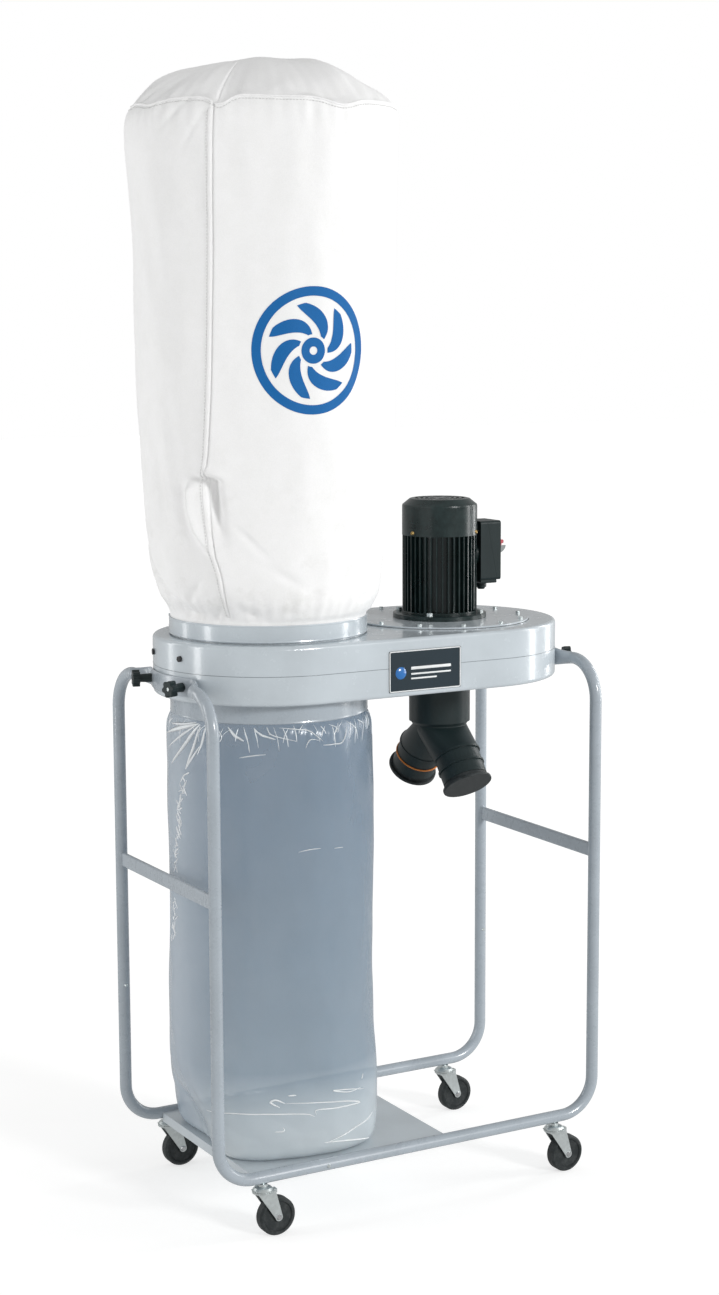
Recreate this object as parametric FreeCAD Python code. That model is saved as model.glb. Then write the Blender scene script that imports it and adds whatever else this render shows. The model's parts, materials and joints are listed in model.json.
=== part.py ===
import FreeCAD, Part
import math
import os

# Two-bag dust collector on a wheeled tube frame. Millimetres, +Z up.
# Origin: on the floor, at the centre of the four legs. The bags stand at the -X end, the motor at the +X end.

V = FreeCAD.Vector
UP = V(0, 0, 1)

# --- frame ---
tube_r = 12.7
tube_wall = 1.6
bore_r = tube_r - tube_wall
leg_x = 450.0
leg_y = 225.0
rail_z = 124.0
rail_bend = 76.0
splice_z = 445.0
splice_depth = 50.0
hoop_z = 1104.0
hoop_bend = 80.0
hoop_round_r = tube_r - 0.15
strap_from = 90.0
round_from = 144.0
strap_half_height = 19.0
strap_half_thick = 2.6
stud_hole_r = 4.2
screw_head_r = 4.0
screw_head = 2.4
screw_r = 2.0
bar_z = 698.0
bar_height = 30.0
bar_thick = 10.0
plate_x0 = -370.0
plate_x1 = 86.0
plate_top = 128.0
plate_depth = 20.0
plate_sheet = 1.5
plate_half = leg_y - tube_r - 0.2
plate_screw_x = -208.0

# --- housing, stadium-shaped in plan ---
end_x = 211.7
end_r = 237.0
sheet = 2.0
house_z0 = 1072.5
house_z1 = 1191.5
seam_z = 1132.0
edge_round = 8.0
collar_wall = 3.5
collar_top = 1223.0
collar_low = 1038.0
scroll_r = 172.0
tab_half_width = 12.0
tab_gap = 0.6
house_bolt_angle = 15.0
house_bolt_z = 1159.0
knob_angle = 17.5

# --- bags and their clamp bands ---
collar_r = 199.0
band_r = 203.0
band_sheet = 1.6
upper_band_z = (1194.5, 1228.0)
lower_band_z = (1033.0, 1070.0)
upper_latch_angle = 132.0
lower_latch_angle = 112.0
latch_pin_r = 2.5
latch_pin_at = 20.0
felt = 2.0
film = 1.0
knob_reach = 281.5
knob_lobe_r = 17.5
turn = math.radians(knob_angle)
bag_r = knob_reach * math.cos(turn) + knob_lobe_r * math.sin(turn)
bag_top = 2328.0
sack_r = 212.0

# --- motor ---
motor_x = 200.0
disc_r = 190.0
disc_top = house_z1 + 4.0
disc_bolt_ring = 176.0
flange_r = 99.5
flange_top = disc_top + 15.0
flange_bolt_ring = 89.0
core_r = 70.0
stator_r = 62.0
fin_r = 79.4
fin_count = 40
fin_width = 2.6
frame_top = 1371.0
cowl_r = 80.0
cowl_top = 1449.0
cowl_shoulder = 1436.0
shaft_r = 12.5
impeller_r = 150.0
impeller_top = 1176.0
blade_count = 8
bearing_r = 26.0
bearing_height = 15.0
cowl_screw_angles = (73, 193, 313)

# --- switch box ---
box_x0 = 281.5
box_x1 = 332.0
box_half_y = 36.0
box_z0 = 1270.0
box_z1 = 1397.0
box_wall = 3.0
switch_y = -12.0
switch_z = 1345.0
switch_r = 18.0
gland_x = 305.0
wire_way_r = 9.0

# --- inlet ---
pipe_r = 65.4
pipe_wall = 2.5
pipe_z0 = 971.0
wye_z = 998.0
wye_mouth_z = 962.0
wye_angle = 37.0
port_r = 48.0
port_wall = 3.0
port_start = 118.0
port_end = 176.0
bead_at = 148.0

# --- casters ---
caster_x = 352.0
trail = 28.0
wheel_r = 39.85
wheel_width = 24.0
axle_r = 4.0
fork_top = 97.0
fork_sheet = 2.5


def cylinder(radius, base, axis, length):
    return Part.makeCylinder(radius, length, base, axis)


def post(radius, x, y, z0, z1):
    return cylinder(radius, V(x, y, z0), UP, z1 - z0)


def ring(outer, inner, x, y, z0, z1):
    return post(outer, x, y, z0, z1).cut(post(inner, x, y, z0 - 1, z1 + 1))


def block(x0, x1, y0, y1, z0, z1):
    return Part.makeBox(x1 - x0, y1 - y0, z1 - z0, V(x0, y0, z0))


def turned(profile, x=0.0, y=0.0):
    """Solid of revolution about a vertical axis; profile is a closed list of (radius, z)."""
    points = [V(x + r, y, z) for r, z in profile]
    face = Part.Face(Part.makePolygon(points + points[:1]))
    return face.revolve(V(x, y, 0), UP, 360)


def fuse(shapes):
    joined = shapes[0].fuse(list(shapes[1:])).removeSplitter()
    return joined.Solids[0] if len(joined.Solids) == 1 else joined


def cut(shape, tools):
    for tool in tools:
        shape = shape.cut(tool)
    return shape


def spun(shape, angle, x=0.0, y=0.0):
    """Copy turned about the vertical line through (x, y)."""
    copy = shape.copy()
    copy.rotate(V(x, y, 0), UP, angle)
    return copy


def flat_edges(shape, z):
    return [e for e in shape.Edges if all(abs(v.Z - z) < 1e-6 for v in e.Vertexes)]


def bent_rod(points, bend, radius):
    """Round rod along straight runs joined by tangent arcs."""
    edges = []
    start = points[0]
    for before, corner, after in zip(points, points[1:], points[2:]):
        back = (before - corner).normalize()
        ahead = (after - corner).normalize()
        half = back.getAngle(ahead) / 2
        reach = bend / math.tan(half)
        sag = bend / math.sin(half) - bend
        arc_start = corner + back * reach
        arc_end = corner + ahead * reach
        middle = corner + (back + ahead).normalize() * sag
        edges.append(Part.LineSegment(start, arc_start).toShape())
        edges.append(Part.Arc(arc_start, middle, arc_end).toShape())
        start = arc_end
    edges.append(Part.LineSegment(start, points[-1]).toShape())
    profile = Part.Wire(Part.makeCircle(radius, points[0], points[1] - points[0]))
    return Part.Wire(edges).makePipeShell([profile], True, True)


def hex_bolt(seat, axis, head_width, head_height, shank_r, shank_length):
    """Hexagon bolt: its head stands on seat along axis, its shank runs the other way."""
    corner_r = head_width / math.sqrt(3)
    corners = []
    for i in range(6):
        a = math.radians(60 * i)
        corners.append(V(corner_r * math.cos(a), corner_r * math.sin(a), 0))
    head = Part.Face(Part.makePolygon(corners + corners[:1])).extrude(V(0, 0, head_height))
    bolt = fuse([head, cylinder(shank_r, V(0, 0, 0.5), V(0, 0, -1), shank_length + 0.5)])
    bolt.Placement = FreeCAD.Placement(seat, FreeCAD.Rotation(UP, axis))
    return bolt


def round_screw(seat, axis, head_r, head_height, shank_r, shank_length):
    head = Part.makeCone(head_r, head_r * 0.7, head_height, seat, axis)
    shank = cylinder(shank_r, seat + axis * 0.5, axis * -1, shank_length + 0.5)
    return fuse([head, shank])


# ---------------------------------------------------------------- frame

def u_tube(side):
    """Lower frame tube at the front (side -1) or rear (side 1): two uprights and a rail."""
    y = side * leg_y
    points = [V(-leg_x, y, splice_z), V(-leg_x, y, rail_z), V(leg_x, y, rail_z), V(leg_x, y, splice_z)]
    tube = bent_rod(points, rail_bend, tube_r).cut(bent_rod(points, rail_bend, bore_r))
    holes = [post(5.15, x, y, rail_z - 20, rail_z) for x in (-caster_x, caster_x)]
    screws = [shape for shape in frame_screw_shapes(0.1) if shape.BoundBox.Center.y * side > 0]
    return cut(tube, holes + screws)


def flatness(y):
    """0 where the hoop's top is a round tube, 1 where it is a flat strap."""
    blend = min(max((round_from - abs(y)) / (round_from - strap_from), 0.0), 1.0)
    return blend * blend * (3 - 2 * blend)


def hoop_section(x_sign, y):
    """Closed outline of the hoop's top at depth y: round at its ends, flattened in the middle."""
    blend = flatness(y)
    half_thick = hoop_round_r + (strap_half_thick - hoop_round_r) * blend
    half_height = hoop_round_r + (strap_half_height - hoop_round_r) * blend
    power = 1.0 - 0.3 * blend
    centre = V(hoop_line(y), y, hoop_z)
    ahead = V(hoop_line(y + 0.5), y + 0.5, hoop_z) - V(hoop_line(y - 0.5), y - 0.5, hoop_z)
    across = ahead.cross(UP).normalize()
    points = []
    for i in range(24):
        a = 2 * math.pi * (i + 0.5) / 24
        c = math.copysign(abs(math.cos(a)) ** power, math.cos(a))
        s = math.copysign(abs(math.sin(a)) ** power, math.sin(a))
        p = centre + across * (half_thick * c) + UP * (half_height * s)
        points.append(V(x_sign * p.x, p.y, p.z))
    curve = Part.BSplineCurve()
    curve.interpolate(Points=points, PeriodicFlag=True)
    return Part.Wire(curve.toShape())


def hoop_line(y):
    """Distance of the hoop's centre line from the machine's middle at depth y."""
    around = end_x + math.sqrt((end_r + strap_half_thick + 0.2) ** 2 - y * y)
    return leg_x + (around - leg_x) * flatness(y)


def stud_hole(x_sign, side):
    return cylinder(stud_hole_r, V(x_sign * end_x, 0, hoop_z), knob_axis(x_sign, side), 300)


def hoop(x_sign):
    """Inverted U at one end: two legs, and a top flattened where it wraps the housing's end."""
    x = x_sign * leg_x
    parts = []
    bores = []
    for side in (-1, 1):
        y = side * leg_y
        points = [V(x, y, splice_z), V(x, y, hoop_z), V(x, side * 139.0, hoop_z)]
        parts.append(bent_rod(points, hoop_bend, tube_r))
        bores.append(bent_rod(points, hoop_bend, bore_r))
        parts.append(post(bore_r - 0.1, x, y, splice_z - splice_depth, splice_z + 6))
        bores.append(post(bore_r - 1.7, x, y, splice_z - splice_depth - 1, splice_z + 7))
    ends = []
    for part, hollow in zip(parts, bores):
        ends.append(part.cut(hollow))
    for side in (-1, 1):
        ends.append(ring(bore_r + 0.8, bore_r - 1.7, x, side * leg_y, splice_z, splice_z + 6))
    steps = 15
    reach = 149.0
    top = Part.makeLoft([hoop_section(x_sign, reach * i / steps) for i in range(-steps, steps + 1)], True)
    body = fuse(ends + [top])
    holes = [stud_hole(x_sign, s) for s in (-1, 1)]
    screws = [shape for shape in frame_screw_shapes(0.1) if shape.BoundBox.Center.x * x_sign > 0]
    return cut(body, holes + screws)


def cross_bar(x_sign):
    x = x_sign * leg_x
    bar = block(x - bar_thick / 2, x + bar_thick / 2, -leg_y, leg_y,
                bar_z - bar_height / 2, bar_z + bar_height / 2)
    long_edges = [e for e in bar.Edges if abs(e.Length - 2 * leg_y) < 1e-6]
    bar = bar.makeFillet(4.0, long_edges)
    return cut(bar, [post(tube_r + 0.05, x, side * leg_y, bar_z - 30, bar_z + 30) for side in (-1, 1)])


def base_plate():
    """Shallow tray, turned down all round, hung between the two rails."""
    tray = block(plate_x0, plate_x1, -plate_half, plate_half, plate_top - plate_depth, plate_top)
    inner = block(plate_x0 + plate_sheet, plate_x1 - plate_sheet, plate_sheet - plate_half,
                  plate_half - plate_sheet, plate_top - plate_depth - 1, plate_top - plate_sheet)
    screws = [shape for shape in frame_screw_shapes(0.1) if shape.BoundBox.Center.z < rail_z + 5]
    return cut(tray.cut(inner), screws)


def frame_screw_shapes(extra=0.0):
    """Four screws at the tube splices and two that hold the base plate to the rails."""
    screws = []
    for x_sign in (-1, 1):
        for side in (-1, 1):
            seat = V(x_sign * leg_x, side * (leg_y - tube_r), splice_z - 22)
            screws.append(round_screw(seat, V(0, -side, 0), screw_head_r, screw_head, screw_r + extra, 6))
    for side in (-1, 1):
        seat = V(plate_screw_x, side * (leg_y + tube_r), rail_z)
        screws.append(round_screw(seat, V(0, side, 0), screw_head_r, screw_head, screw_r + extra, 32))
    return screws


# ---------------------------------------------------------------- housing

def stadium(radius, z0, z1):
    left = V(-end_x, -radius, z0)
    right = V(end_x, -radius, z0)
    far_right = V(end_x, radius, z0)
    far_left = V(-end_x, radius, z0)
    edges = [
        Part.LineSegment(left, right).toShape(),
        Part.Arc(right, V(end_x + radius, 0, z0), far_right).toShape(),
        Part.LineSegment(far_right, far_left).toShape(),
        Part.Arc(far_left, V(-end_x - radius, 0, z0), left).toShape(),
    ]
    return Part.Face(Part.Wire(edges)).extrude(V(0, 0, z1 - z0))


def half_shell(z_open, z_closed):
    """One pressed half of the housing, open at the seam and rounded at its closed edge."""
    low = min(z_open, z_closed)
    high = max(z_open, z_closed)
    outer = stadium(end_r, low, high)
    outer = outer.makeFillet(edge_round, flat_edges(outer, z_closed))
    inner_closed = z_closed + math.copysign(sheet, z_open - z_closed)
    inner_open = z_open + math.copysign(5, z_open - z_closed)
    inner = stadium(end_r - sheet, min(inner_open, inner_closed), max(inner_open, inner_closed))
    inner = inner.makeFillet(edge_round - sheet, flat_edges(inner, inner_closed))
    return outer.cut(inner)


def end_axis(x_sign, angle):
    """Direction from an end's centre outwards, turned by angle from the machine's length."""
    a = math.radians(angle)
    return V(x_sign * math.cos(a), math.sin(a), 0)


def knob_axis(x_sign, side):
    return end_axis(x_sign, side * knob_angle)


def end_spots(angle):
    return [(x_sign, side, end_axis(x_sign, side * angle)) for x_sign in (-1, 1) for side in (-1, 1)]


def housing_bolt_shapes(extra=0.0):
    bolts = []
    for x_sign, side, axis in end_spots(house_bolt_angle):
        seat = V(x_sign * end_x, 0, house_bolt_z) + axis * end_r
        bolts.append(hex_bolt(seat, axis, 11.0, 4.5, 3.0 + extra, 9.0))
    return bolts


def upper_housing():
    """Top half of the housing, with the welded collar that the filter bag is clamped to."""
    shell = half_shell(seam_z + 0.2, house_z1)
    shell = cut(shell, [post(collar_r - 3, -end_x, 0, house_z1 - 20, house_z1 + 5),
                        post(160, motor_x, 0, house_z1 - 20, house_z1 + 5)])
    collar = ring(collar_r, collar_r - collar_wall, -end_x, 0, house_z1 - sheet, collar_top)
    return cut(fuse([shell, collar]), housing_bolt_shapes(0.1) + plate_bolt_shapes(0.1))


def scroll_wall():
    """Curved wall inside the lower half that leads the air from the impeller to the bags."""
    tall = (house_z0 + sheet - 0.5, house_z1 - sheet - 0.5)
    full = ring(scroll_r + sheet, scroll_r, motor_x, 0, *tall)
    keep_from = math.radians(95)
    keep_to = math.radians(235)
    corners = [V(motor_x, 0, tall[0])]
    steps = 7
    for i in range(steps + 1):
        a = keep_from + (keep_to - keep_from) * i / steps
        corners.append(V(motor_x + 260 * math.cos(a), 260 * math.sin(a), tall[0]))
    wedge = Part.Face(Part.makePolygon(corners + corners[:1])).extrude(V(0, 0, tall[1] - tall[0]))
    arc = full.common(wedge)
    x = motor_x + scroll_r * math.cos(keep_from)
    below_round = house_z1 - edge_round - 0.5
    leaf = block(x - 1, x + 1, scroll_r * math.sin(keep_from), end_r - edge_round - 0.5, *tall)
    edge = block(x - 1, x + 1, end_r - edge_round - 1.5, end_r - sheet - 0.3, tall[0], below_round)
    weld = block(x - 1, x + 1, end_r - sheet - 1, end_r - sheet + 0.5, tall[0], seam_z - 2)
    return fuse([arc, leaf, edge, weld])


def lower_housing():
    """Bottom half, with the lower collar, the inlet opening, the scroll wall and four joining tabs."""
    shell = half_shell(seam_z - 0.2, house_z0)
    shell = cut(shell, [post(collar_r - 3, -end_x, 0, house_z0 - 5, house_z0 + 20),
                        post(pipe_r - pipe_wall, motor_x, 0, house_z0 - 5, house_z0 + 20)])
    collar = ring(collar_r, collar_r - collar_wall, -end_x, 0, collar_low, house_z0 + sheet)
    parts = [shell, collar, scroll_wall()]
    for x_sign, side, axis in end_spots(house_bolt_angle):
        outside = end_r - sheet - tab_gap
        tab = block(outside - 2.2, outside, -tab_half_width, tab_half_width, seam_z - 20, 1174)
        root = block(outside - 2.2, end_r - 1.0, -tab_half_width, tab_half_width, seam_z - 20, seam_z - 6)
        tab = fuse([tab, root])
        angle = math.degrees(math.atan2(axis.y, axis.x))
        tab.rotate(V(0, 0, 0), UP, angle)
        tab.translate(V(x_sign * end_x, 0, 0))
        parts.append(tab)
    holes = [stud_hole(x_sign, side) for x_sign in (-1, 1) for side in (-1, 1)]
    return cut(fuse(parts), holes + housing_bolt_shapes(0.1))


def hoop_studs():
    """Four studs welded inside the housing; the hoops and their knobs go on them."""
    studs = []
    for x_sign, side, axis in end_spots(knob_angle):
        centre = V(x_sign * end_x, 0, hoop_z)
        plate = cylinder(7.5, centre + axis * (end_r - 5.4), axis, 3.0)
        stud = cylinder(4, centre + axis * (end_r - 5.4), axis, knob_reach - end_r + 4.4)
        studs.append(fuse([plate, stud]))
    return studs


def hoop_knob(x_sign, side):
    """Six-lobed hand knob with a neck, threaded on its stud."""
    head_from = knob_reach - 15
    neck_from = end_r + 2 * strap_half_thick + 0.7
    head = cylinder(13.5, V(0, 0, head_from), UP, 15)
    lobes = []
    for i in range(6):
        a = math.radians(60 * i)
        lobes.append(cylinder(5.0, V(12.5 * math.cos(a), 12.5 * math.sin(a), head_from), UP, 15))
    knob = fuse([head] + lobes)
    knob = knob.makeChamfer(1.2, flat_edges(knob, knob_reach))
    knob = fuse([knob, Part.makeCone(9.5, 8.0, head_from - neck_from + 1, V(0, 0, neck_from), UP)])
    knob = knob.cut(cylinder(4.05, V(0, 0, neck_from - 5), UP, 60))
    on_stud = FreeCAD.Rotation(UP, knob_axis(x_sign, side))
    knob.Placement = FreeCAD.Placement(V(x_sign * end_x, 0, hoop_z), on_stud)
    return knob


def name_plate():
    plate = block(-64, 104.6, -end_r - 1.4, -end_r - 0.2, 1083, 1167)
    upright = [e for e in plate.Edges if abs(e.Length - 1.2) < 1e-6]
    return plate.makeFillet(3.0, upright)


# ---------------------------------------------------------------- bags and bands

def bag_shell(outline, thickness, top_first):
    """Thin closed sack: a spline outline of (radius, z) from the neck to the axis, turned and hollowed."""
    def solid(inset):
        points = [V(-end_x + max(r - inset, 0), 0, z - top_first * inset * w) for r, z, w in outline]
        curve = Part.BSplineCurve()
        curve.interpolate(points)
        neck = points[0]
        tip = points[-1]
        edges = [curve.toShape(),
                 Part.LineSegment(tip, V(-end_x, 0, neck.z)).toShape(),
                 Part.LineSegment(V(-end_x, 0, neck.z), neck).toShape()]
        return Part.Face(Part.Wire(edges)).revolve(V(-end_x, 0, 0), UP, 360)
    return solid(0.0).cut(solid(thickness))


def filter_bag():
    """Felt filter bag: tucked inside the band at its neck, swelling upwards to a domed top."""
    outline = [(201.2, 1226, 0), (201.3, 1240, 0), (221, 1281, 0), (237, 1383, 0), (251, 1599, 0),
               (258, 1771, 0), (266, 1975, 0), (bag_r, 2165, 0), (268, 2232, 0), (240, 2280, 0.6),
               (150, 2316, 1), (60, 2327, 1), (0, bag_top, 1)]
    sack = bag_shell(outline, felt, 1)
    neck = ring(201.2, 199.2, -end_x, 0, 1197, 1226.5)
    return fuse([sack, neck])


def collector_bag():
    """Clear plastic bag: clamped at the lower collar and standing on the base plate."""
    outline = [(200.2, 1037, 0), (200.6, 1030.5, 0), (205, 1019, 0), (210.5, 1000, 0), (sack_r, 960, 0),
               (sack_r, 700, 0), (sack_r, 300, 0), (sack_r, 205, 0), (206, 165, 0), (190, 140, 0.6),
               (150, 131, 1), (0, plate_top + 0.4, 1)]
    sack = bag_shell(outline, film, -1)
    neck = ring(200.2, 199.2, -end_x, 0, 1035.5, 1068)
    return fuse([sack, neck])


def latch_spot(shape, angle, z):
    shape = spun(shape, angle)
    shape.translate(V(-end_x, 0, z))
    return shape


def clamp_band(span, latch_angle):
    """Steel band with rolled edges; two lugs carry its latch lever and a keeper holds it shut."""
    low, high = span
    profile = [(band_r - band_sheet, low), (band_r - 0.4, low - 0.6), (band_r + 0.6, low + 1.2),
               (band_r, low + 3.5), (band_r, high - 3.5), (band_r + 0.6, high - 1.2),
               (band_r - 0.4, high + 0.6), (band_r - band_sheet, high)]
    middle = (low + high) / 2
    parts = [turned(profile, -end_x, 0)]
    for z0, z1 in ((-12.5, -10.5), (10.5, 12.5)):
        lug = block(band_r - 1.2, band_r + 8, latch_pin_at - 5, latch_pin_at + 5, z0, z1)
        lug = lug.cut(post(latch_pin_r + 0.05, band_r + 4.5, latch_pin_at, z0 - 1, z1 + 1))
        parts.append(latch_spot(lug, latch_angle, middle))
    keeper = block(band_r - 2.2, band_r + 1.6, -30, -24, -7, 7)
    parts.append(latch_spot(keeper, latch_angle, middle))
    return fuse(parts)


def latch_lever(span, latch_angle):
    """Over-centre lever lying along the band, turning on its own pin."""
    pin = post(latch_pin_r, band_r + 4.5, latch_pin_at, -12.5, 12.5)
    arm = block(band_r + 3.5, band_r + 5.5, -20, 20, -9.5, 9.5)
    tip = block(band_r + 3.5, band_r + 8.5, -23, -20, -9.5, 9.5)
    return latch_spot(fuse([pin, arm, tip]), latch_angle, (span[0] + span[1]) / 2)


# ---------------------------------------------------------------- motor and impeller

def bolt_circle(radius, count, first, z, head_width, head_height, shank_r, shank_length):
    bolts = []
    for i in range(count):
        a = math.radians(first + 360.0 * i / count)
        seat = V(motor_x + radius * math.cos(a), radius * math.sin(a), z)
        bolts.append(hex_bolt(seat, UP, head_width, head_height, shank_r, shank_length))
    return bolts


def plate_bolt_shapes(extra=0.0):
    return bolt_circle(disc_bolt_ring, 12, 15, disc_top, 9.0, 5.0, 2.5 + extra, 6)


def flange_bolt_shapes(extra=0.0):
    return bolt_circle(flange_bolt_ring, 4, 45, flange_top - 5, 12.0, 7.0, 4.0 + extra, 16)


def motor_plate():
    disc = ring(disc_r, 60, motor_x, 0, house_z1 + 0.1, disc_top)
    disc = disc.makeChamfer(1.0, [e for e in flat_edges(disc, disc_top) if e.Length > 1000])
    return cut(disc, plate_bolt_shapes(0.1) + flange_bolt_shapes(0.1))


def motor_flange():
    """Lower end bell: wide mounting flange, a step to the frame and a seat for the lower bearing."""
    profile = [(shaft_r + 3, disc_top + 1), (59, disc_top + 1), (59, disc_top + 0.1),
               (flange_r, disc_top + 0.1), (flange_r, flange_top - 6), (flange_r - 2, flange_top - 5),
               (fin_r + 1, flange_top - 5),
               (fin_r + 1, flange_top), (61.5, flange_top), (61.5, flange_top + 4), (34, flange_top + 4),
               (34, flange_top + 22), (bearing_r, flange_top + 22), (bearing_r, flange_top + 5),
               (shaft_r + 3, flange_top + 5)]
    return cut(turned(profile, motor_x, 0), flange_bolt_shapes(0.1))


def motor_frame():
    """Ribbed motor frame, with a boss at the side for the switch box."""
    corners = []
    for i in range(fin_count):
        middle = 2 * math.pi * i / fin_count
        for radius, side in ((core_r, -1), (fin_r, -1), (fin_r, 1), (core_r, 1)):
            a = middle + side * math.asin(fin_width / 2 / radius)
            corners.append(V(motor_x + radius * math.cos(a), radius * math.sin(a), flange_top + 0.1))
    ribbed = Part.Face(Part.makePolygon(corners + corners[:1])).extrude(V(0, 0, frame_top - flange_top - 0.1))
    middle_z = (box_z0 + box_z1) / 2 - 8
    boss = cylinder(30, V(motor_x + 64, 0, middle_z), V(1, 0, 0), box_x0 - 0.1 - motor_x - 64)
    bore = post(stator_r, motor_x, 0, flange_top - 1, frame_top + 1)
    wire_way = cylinder(wire_way_r, V(motor_x + 50, 0, middle_z), V(1, 0, 0), 60)
    return cut(fuse([ribbed, boss]), [bore, wire_way])


def stator():
    """Laminated stator with its end windings."""
    low = flange_top + 30
    high = frame_top - 32
    profile = [(39, low + 18), (39, high - 18), (42, high - 18), (42, high), (57, high), (57, high - 18),
               (stator_r - 0.1, high - 18), (stator_r - 0.1, low + 18), (57, low + 18), (57, low),
               (42, low), (42, low + 18)]
    return turned(profile, motor_x, 0)


def end_shield():
    """Top end shield with the seat of the upper bearing; the fan cover is screwed to its rim."""
    profile = [(shaft_r + 3, frame_top + 3), (bearing_r, frame_top + 3), (bearing_r, frame_top - 14),
               (34, frame_top - 14),
               (34, frame_top - 1), (61.5, frame_top - 1), (61.5, frame_top + 0.1), (78.2, frame_top + 0.1),
               (78.2, frame_top + 14), (72, frame_top + 14), (70, frame_top + 8),
               (shaft_r + 3, frame_top + 8)]
    return cut(turned(profile, motor_x, 0), cowl_screw_shapes(0.1))


def bearings():
    """Two ball bearings, outer ring 52 across and 15 wide."""
    low = flange_top + 6
    high = frame_top - 13
    return [ring(bearing_r - 0.05, shaft_r, motor_x, 0, z, z + bearing_height) for z in (low, high)]


def motor_shaft():
    return fuse([post(shaft_r - 0.05, motor_x, 0, flange_top - 2, frame_top + 3),
                 post(10, motor_x, 0, 1134, flange_top - 2),
                 post(10, motor_x, 0, frame_top + 3, frame_top + 42)])


def rotor_core():
    return ring(38.4, shaft_r, motor_x, 0, flange_top + 50, frame_top - 52)


def cooling_fan():
    """Moulded fan with eight straight blades, on the shaft above the top end shield."""
    base = frame_top + 17
    parts = [ring(16, 10, motor_x, 0, base, base + 22), ring(62, 15, motor_x, 0, base, base + 3)]
    for i in range(blade_count):
        blade = block(motor_x + 15, motor_x + 60, -1.2, 1.2, base + 2, base + 22)
        parts.append(spun(blade, 360 * i / blade_count, motor_x, 0))
    return fuse(parts)


def cowl_screw_shapes(extra=0.0):
    screws = []
    for angle in cowl_screw_angles:
        a = math.radians(angle)
        axis = V(math.cos(a), math.sin(a), 0)
        seat = V(motor_x, 0, frame_top + 7) + axis * cowl_r
        screws.append(round_screw(seat, axis, 4.5, 2.6, 2.0 + extra, 5))
    return screws


def fan_cover():
    """Pressed cover with a bevelled shoulder and a ring-slotted top."""
    skin = 1.5
    profile = [(cowl_r - skin, frame_top + 0.4), (cowl_r, frame_top + 0.4), (cowl_r, cowl_shoulder - 3),
               (cowl_r - 1, cowl_shoulder), (64, cowl_top - 1), (60, cowl_top), (0, cowl_top),
               (0, cowl_top - skin), (59.5, cowl_top - skin), (63, cowl_top - skin - 1),
               (cowl_r - skin - 0.7, cowl_shoulder - 1)]
    cover = turned(profile, motor_x, 0)
    spoke = block(motor_x - 60, motor_x + 60, -2.5, 2.5, cowl_top - 10, cowl_top + 5)
    spokes = [spun(spoke, 45 * i, motor_x, 0) for i in range(4)]
    for inner in (14, 25, 36, 47):
        slot = ring(inner + 6, inner, motor_x, 0, cowl_top - 8, cowl_top + 2)
        cover = cover.cut(cut(slot, spokes))
    return cut(cover, cowl_screw_shapes(0.1))


def impeller():
    """Steel radial impeller: hub, back plate and eight straight blades, open towards the inlet."""
    top = impeller_top + 2.5
    parts = [ring(22, 10, motor_x, 0, 1140, top), ring(impeller_r, 20, motor_x, 0, impeller_top, top)]
    for i in range(blade_count):
        blade = block(motor_x + 21, motor_x + impeller_r - 0.5, -1, 1, 1100, impeller_top + 1)
        relief = block(motor_x + 20, motor_x + 50, -5, 5, 1095, 1140)
        parts.append(spun(blade.cut(relief), 360 * i / blade_count, motor_x, 0))
    return fuse(parts)


# ---------------------------------------------------------------- switch box

def box_hull(inset, x0, x1):
    hull = block(x0, x1, -box_half_y + inset, box_half_y - inset, box_z0 + inset, box_z1 - inset)
    if inset:
        return hull
    return hull.makeFillet(6.0, [e for e in hull.Edges if abs(e.Length - (x1 - x0)) < 1e-6])


def split_wedge(gap):
    """Everything on the cover's side of the sloping joint between box and cover."""
    top_x = 298.0 + gap
    bottom_x = 325.0 + gap
    corners = [V(bottom_x, -60, 1262), V(400, -60, 1262), V(400, -60, 1405), V(top_x - 1.5, -60, 1405)]
    return Part.Face(Part.makePolygon(corners + corners[:1])).extrude(V(0, 120, 0))


def switch_box():
    hull = box_hull(0, box_x0, box_x1)
    hollow = box_hull(box_wall, box_x0 + box_wall, box_x1 - box_wall)
    lip = block(box_x0 + 3, 327, -box_half_y + 4, box_half_y - 4, box_z0 - 7, box_z0 + 2)
    lip = lip.makeChamfer(3.0, [e for e in flat_edges(lip, box_z0 - 7) if e.Length > 30])
    body = fuse([hull.cut(hollow), lip])
    wire_way = cylinder(wire_way_r, V(box_x0 - 1, 0, (box_z0 + box_z1) / 2 - 8), V(1, 0, 0), 10)
    gland_way = post(8.1, gland_x, 0, box_z0 - 10, box_z0 + 8)
    return cut(body, [split_wedge(0), wire_way, gland_way])


def switch_cover():
    hull = box_hull(0, box_x0, box_x1)
    hollow = box_hull(box_wall, box_x0 + box_wall, box_x1 - box_wall)
    well = block(box_x1 - 12, box_x1 + 1, switch_y - 10, switch_y + 10, switch_z - 14, switch_z + 14)
    return cut(hull.cut(hollow).common(split_wedge(0.3)), [well])


def switch_guard():
    """Grey bezel round the rocker, with a rounded shroud over its lower half."""
    face = cylinder(switch_r, V(box_x1 + 0.1, switch_y, switch_z), V(1, 0, 0), 3)
    shroud = cylinder(switch_r + 1, V(box_x1 + 1, switch_y - 13, switch_z), V(0, 1, 0), 26)
    keep = block(box_x1 + 1, box_x1 + 40, switch_y - 20, switch_y + 20, switch_z - 40, switch_z - 3)
    guard = fuse([face, shroud.common(keep)])
    window = block(box_x1 - 1, box_x1 + 30, switch_y - 9, switch_y + 9, switch_z - 13, switch_z + 13)
    return guard.cut(window)


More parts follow.
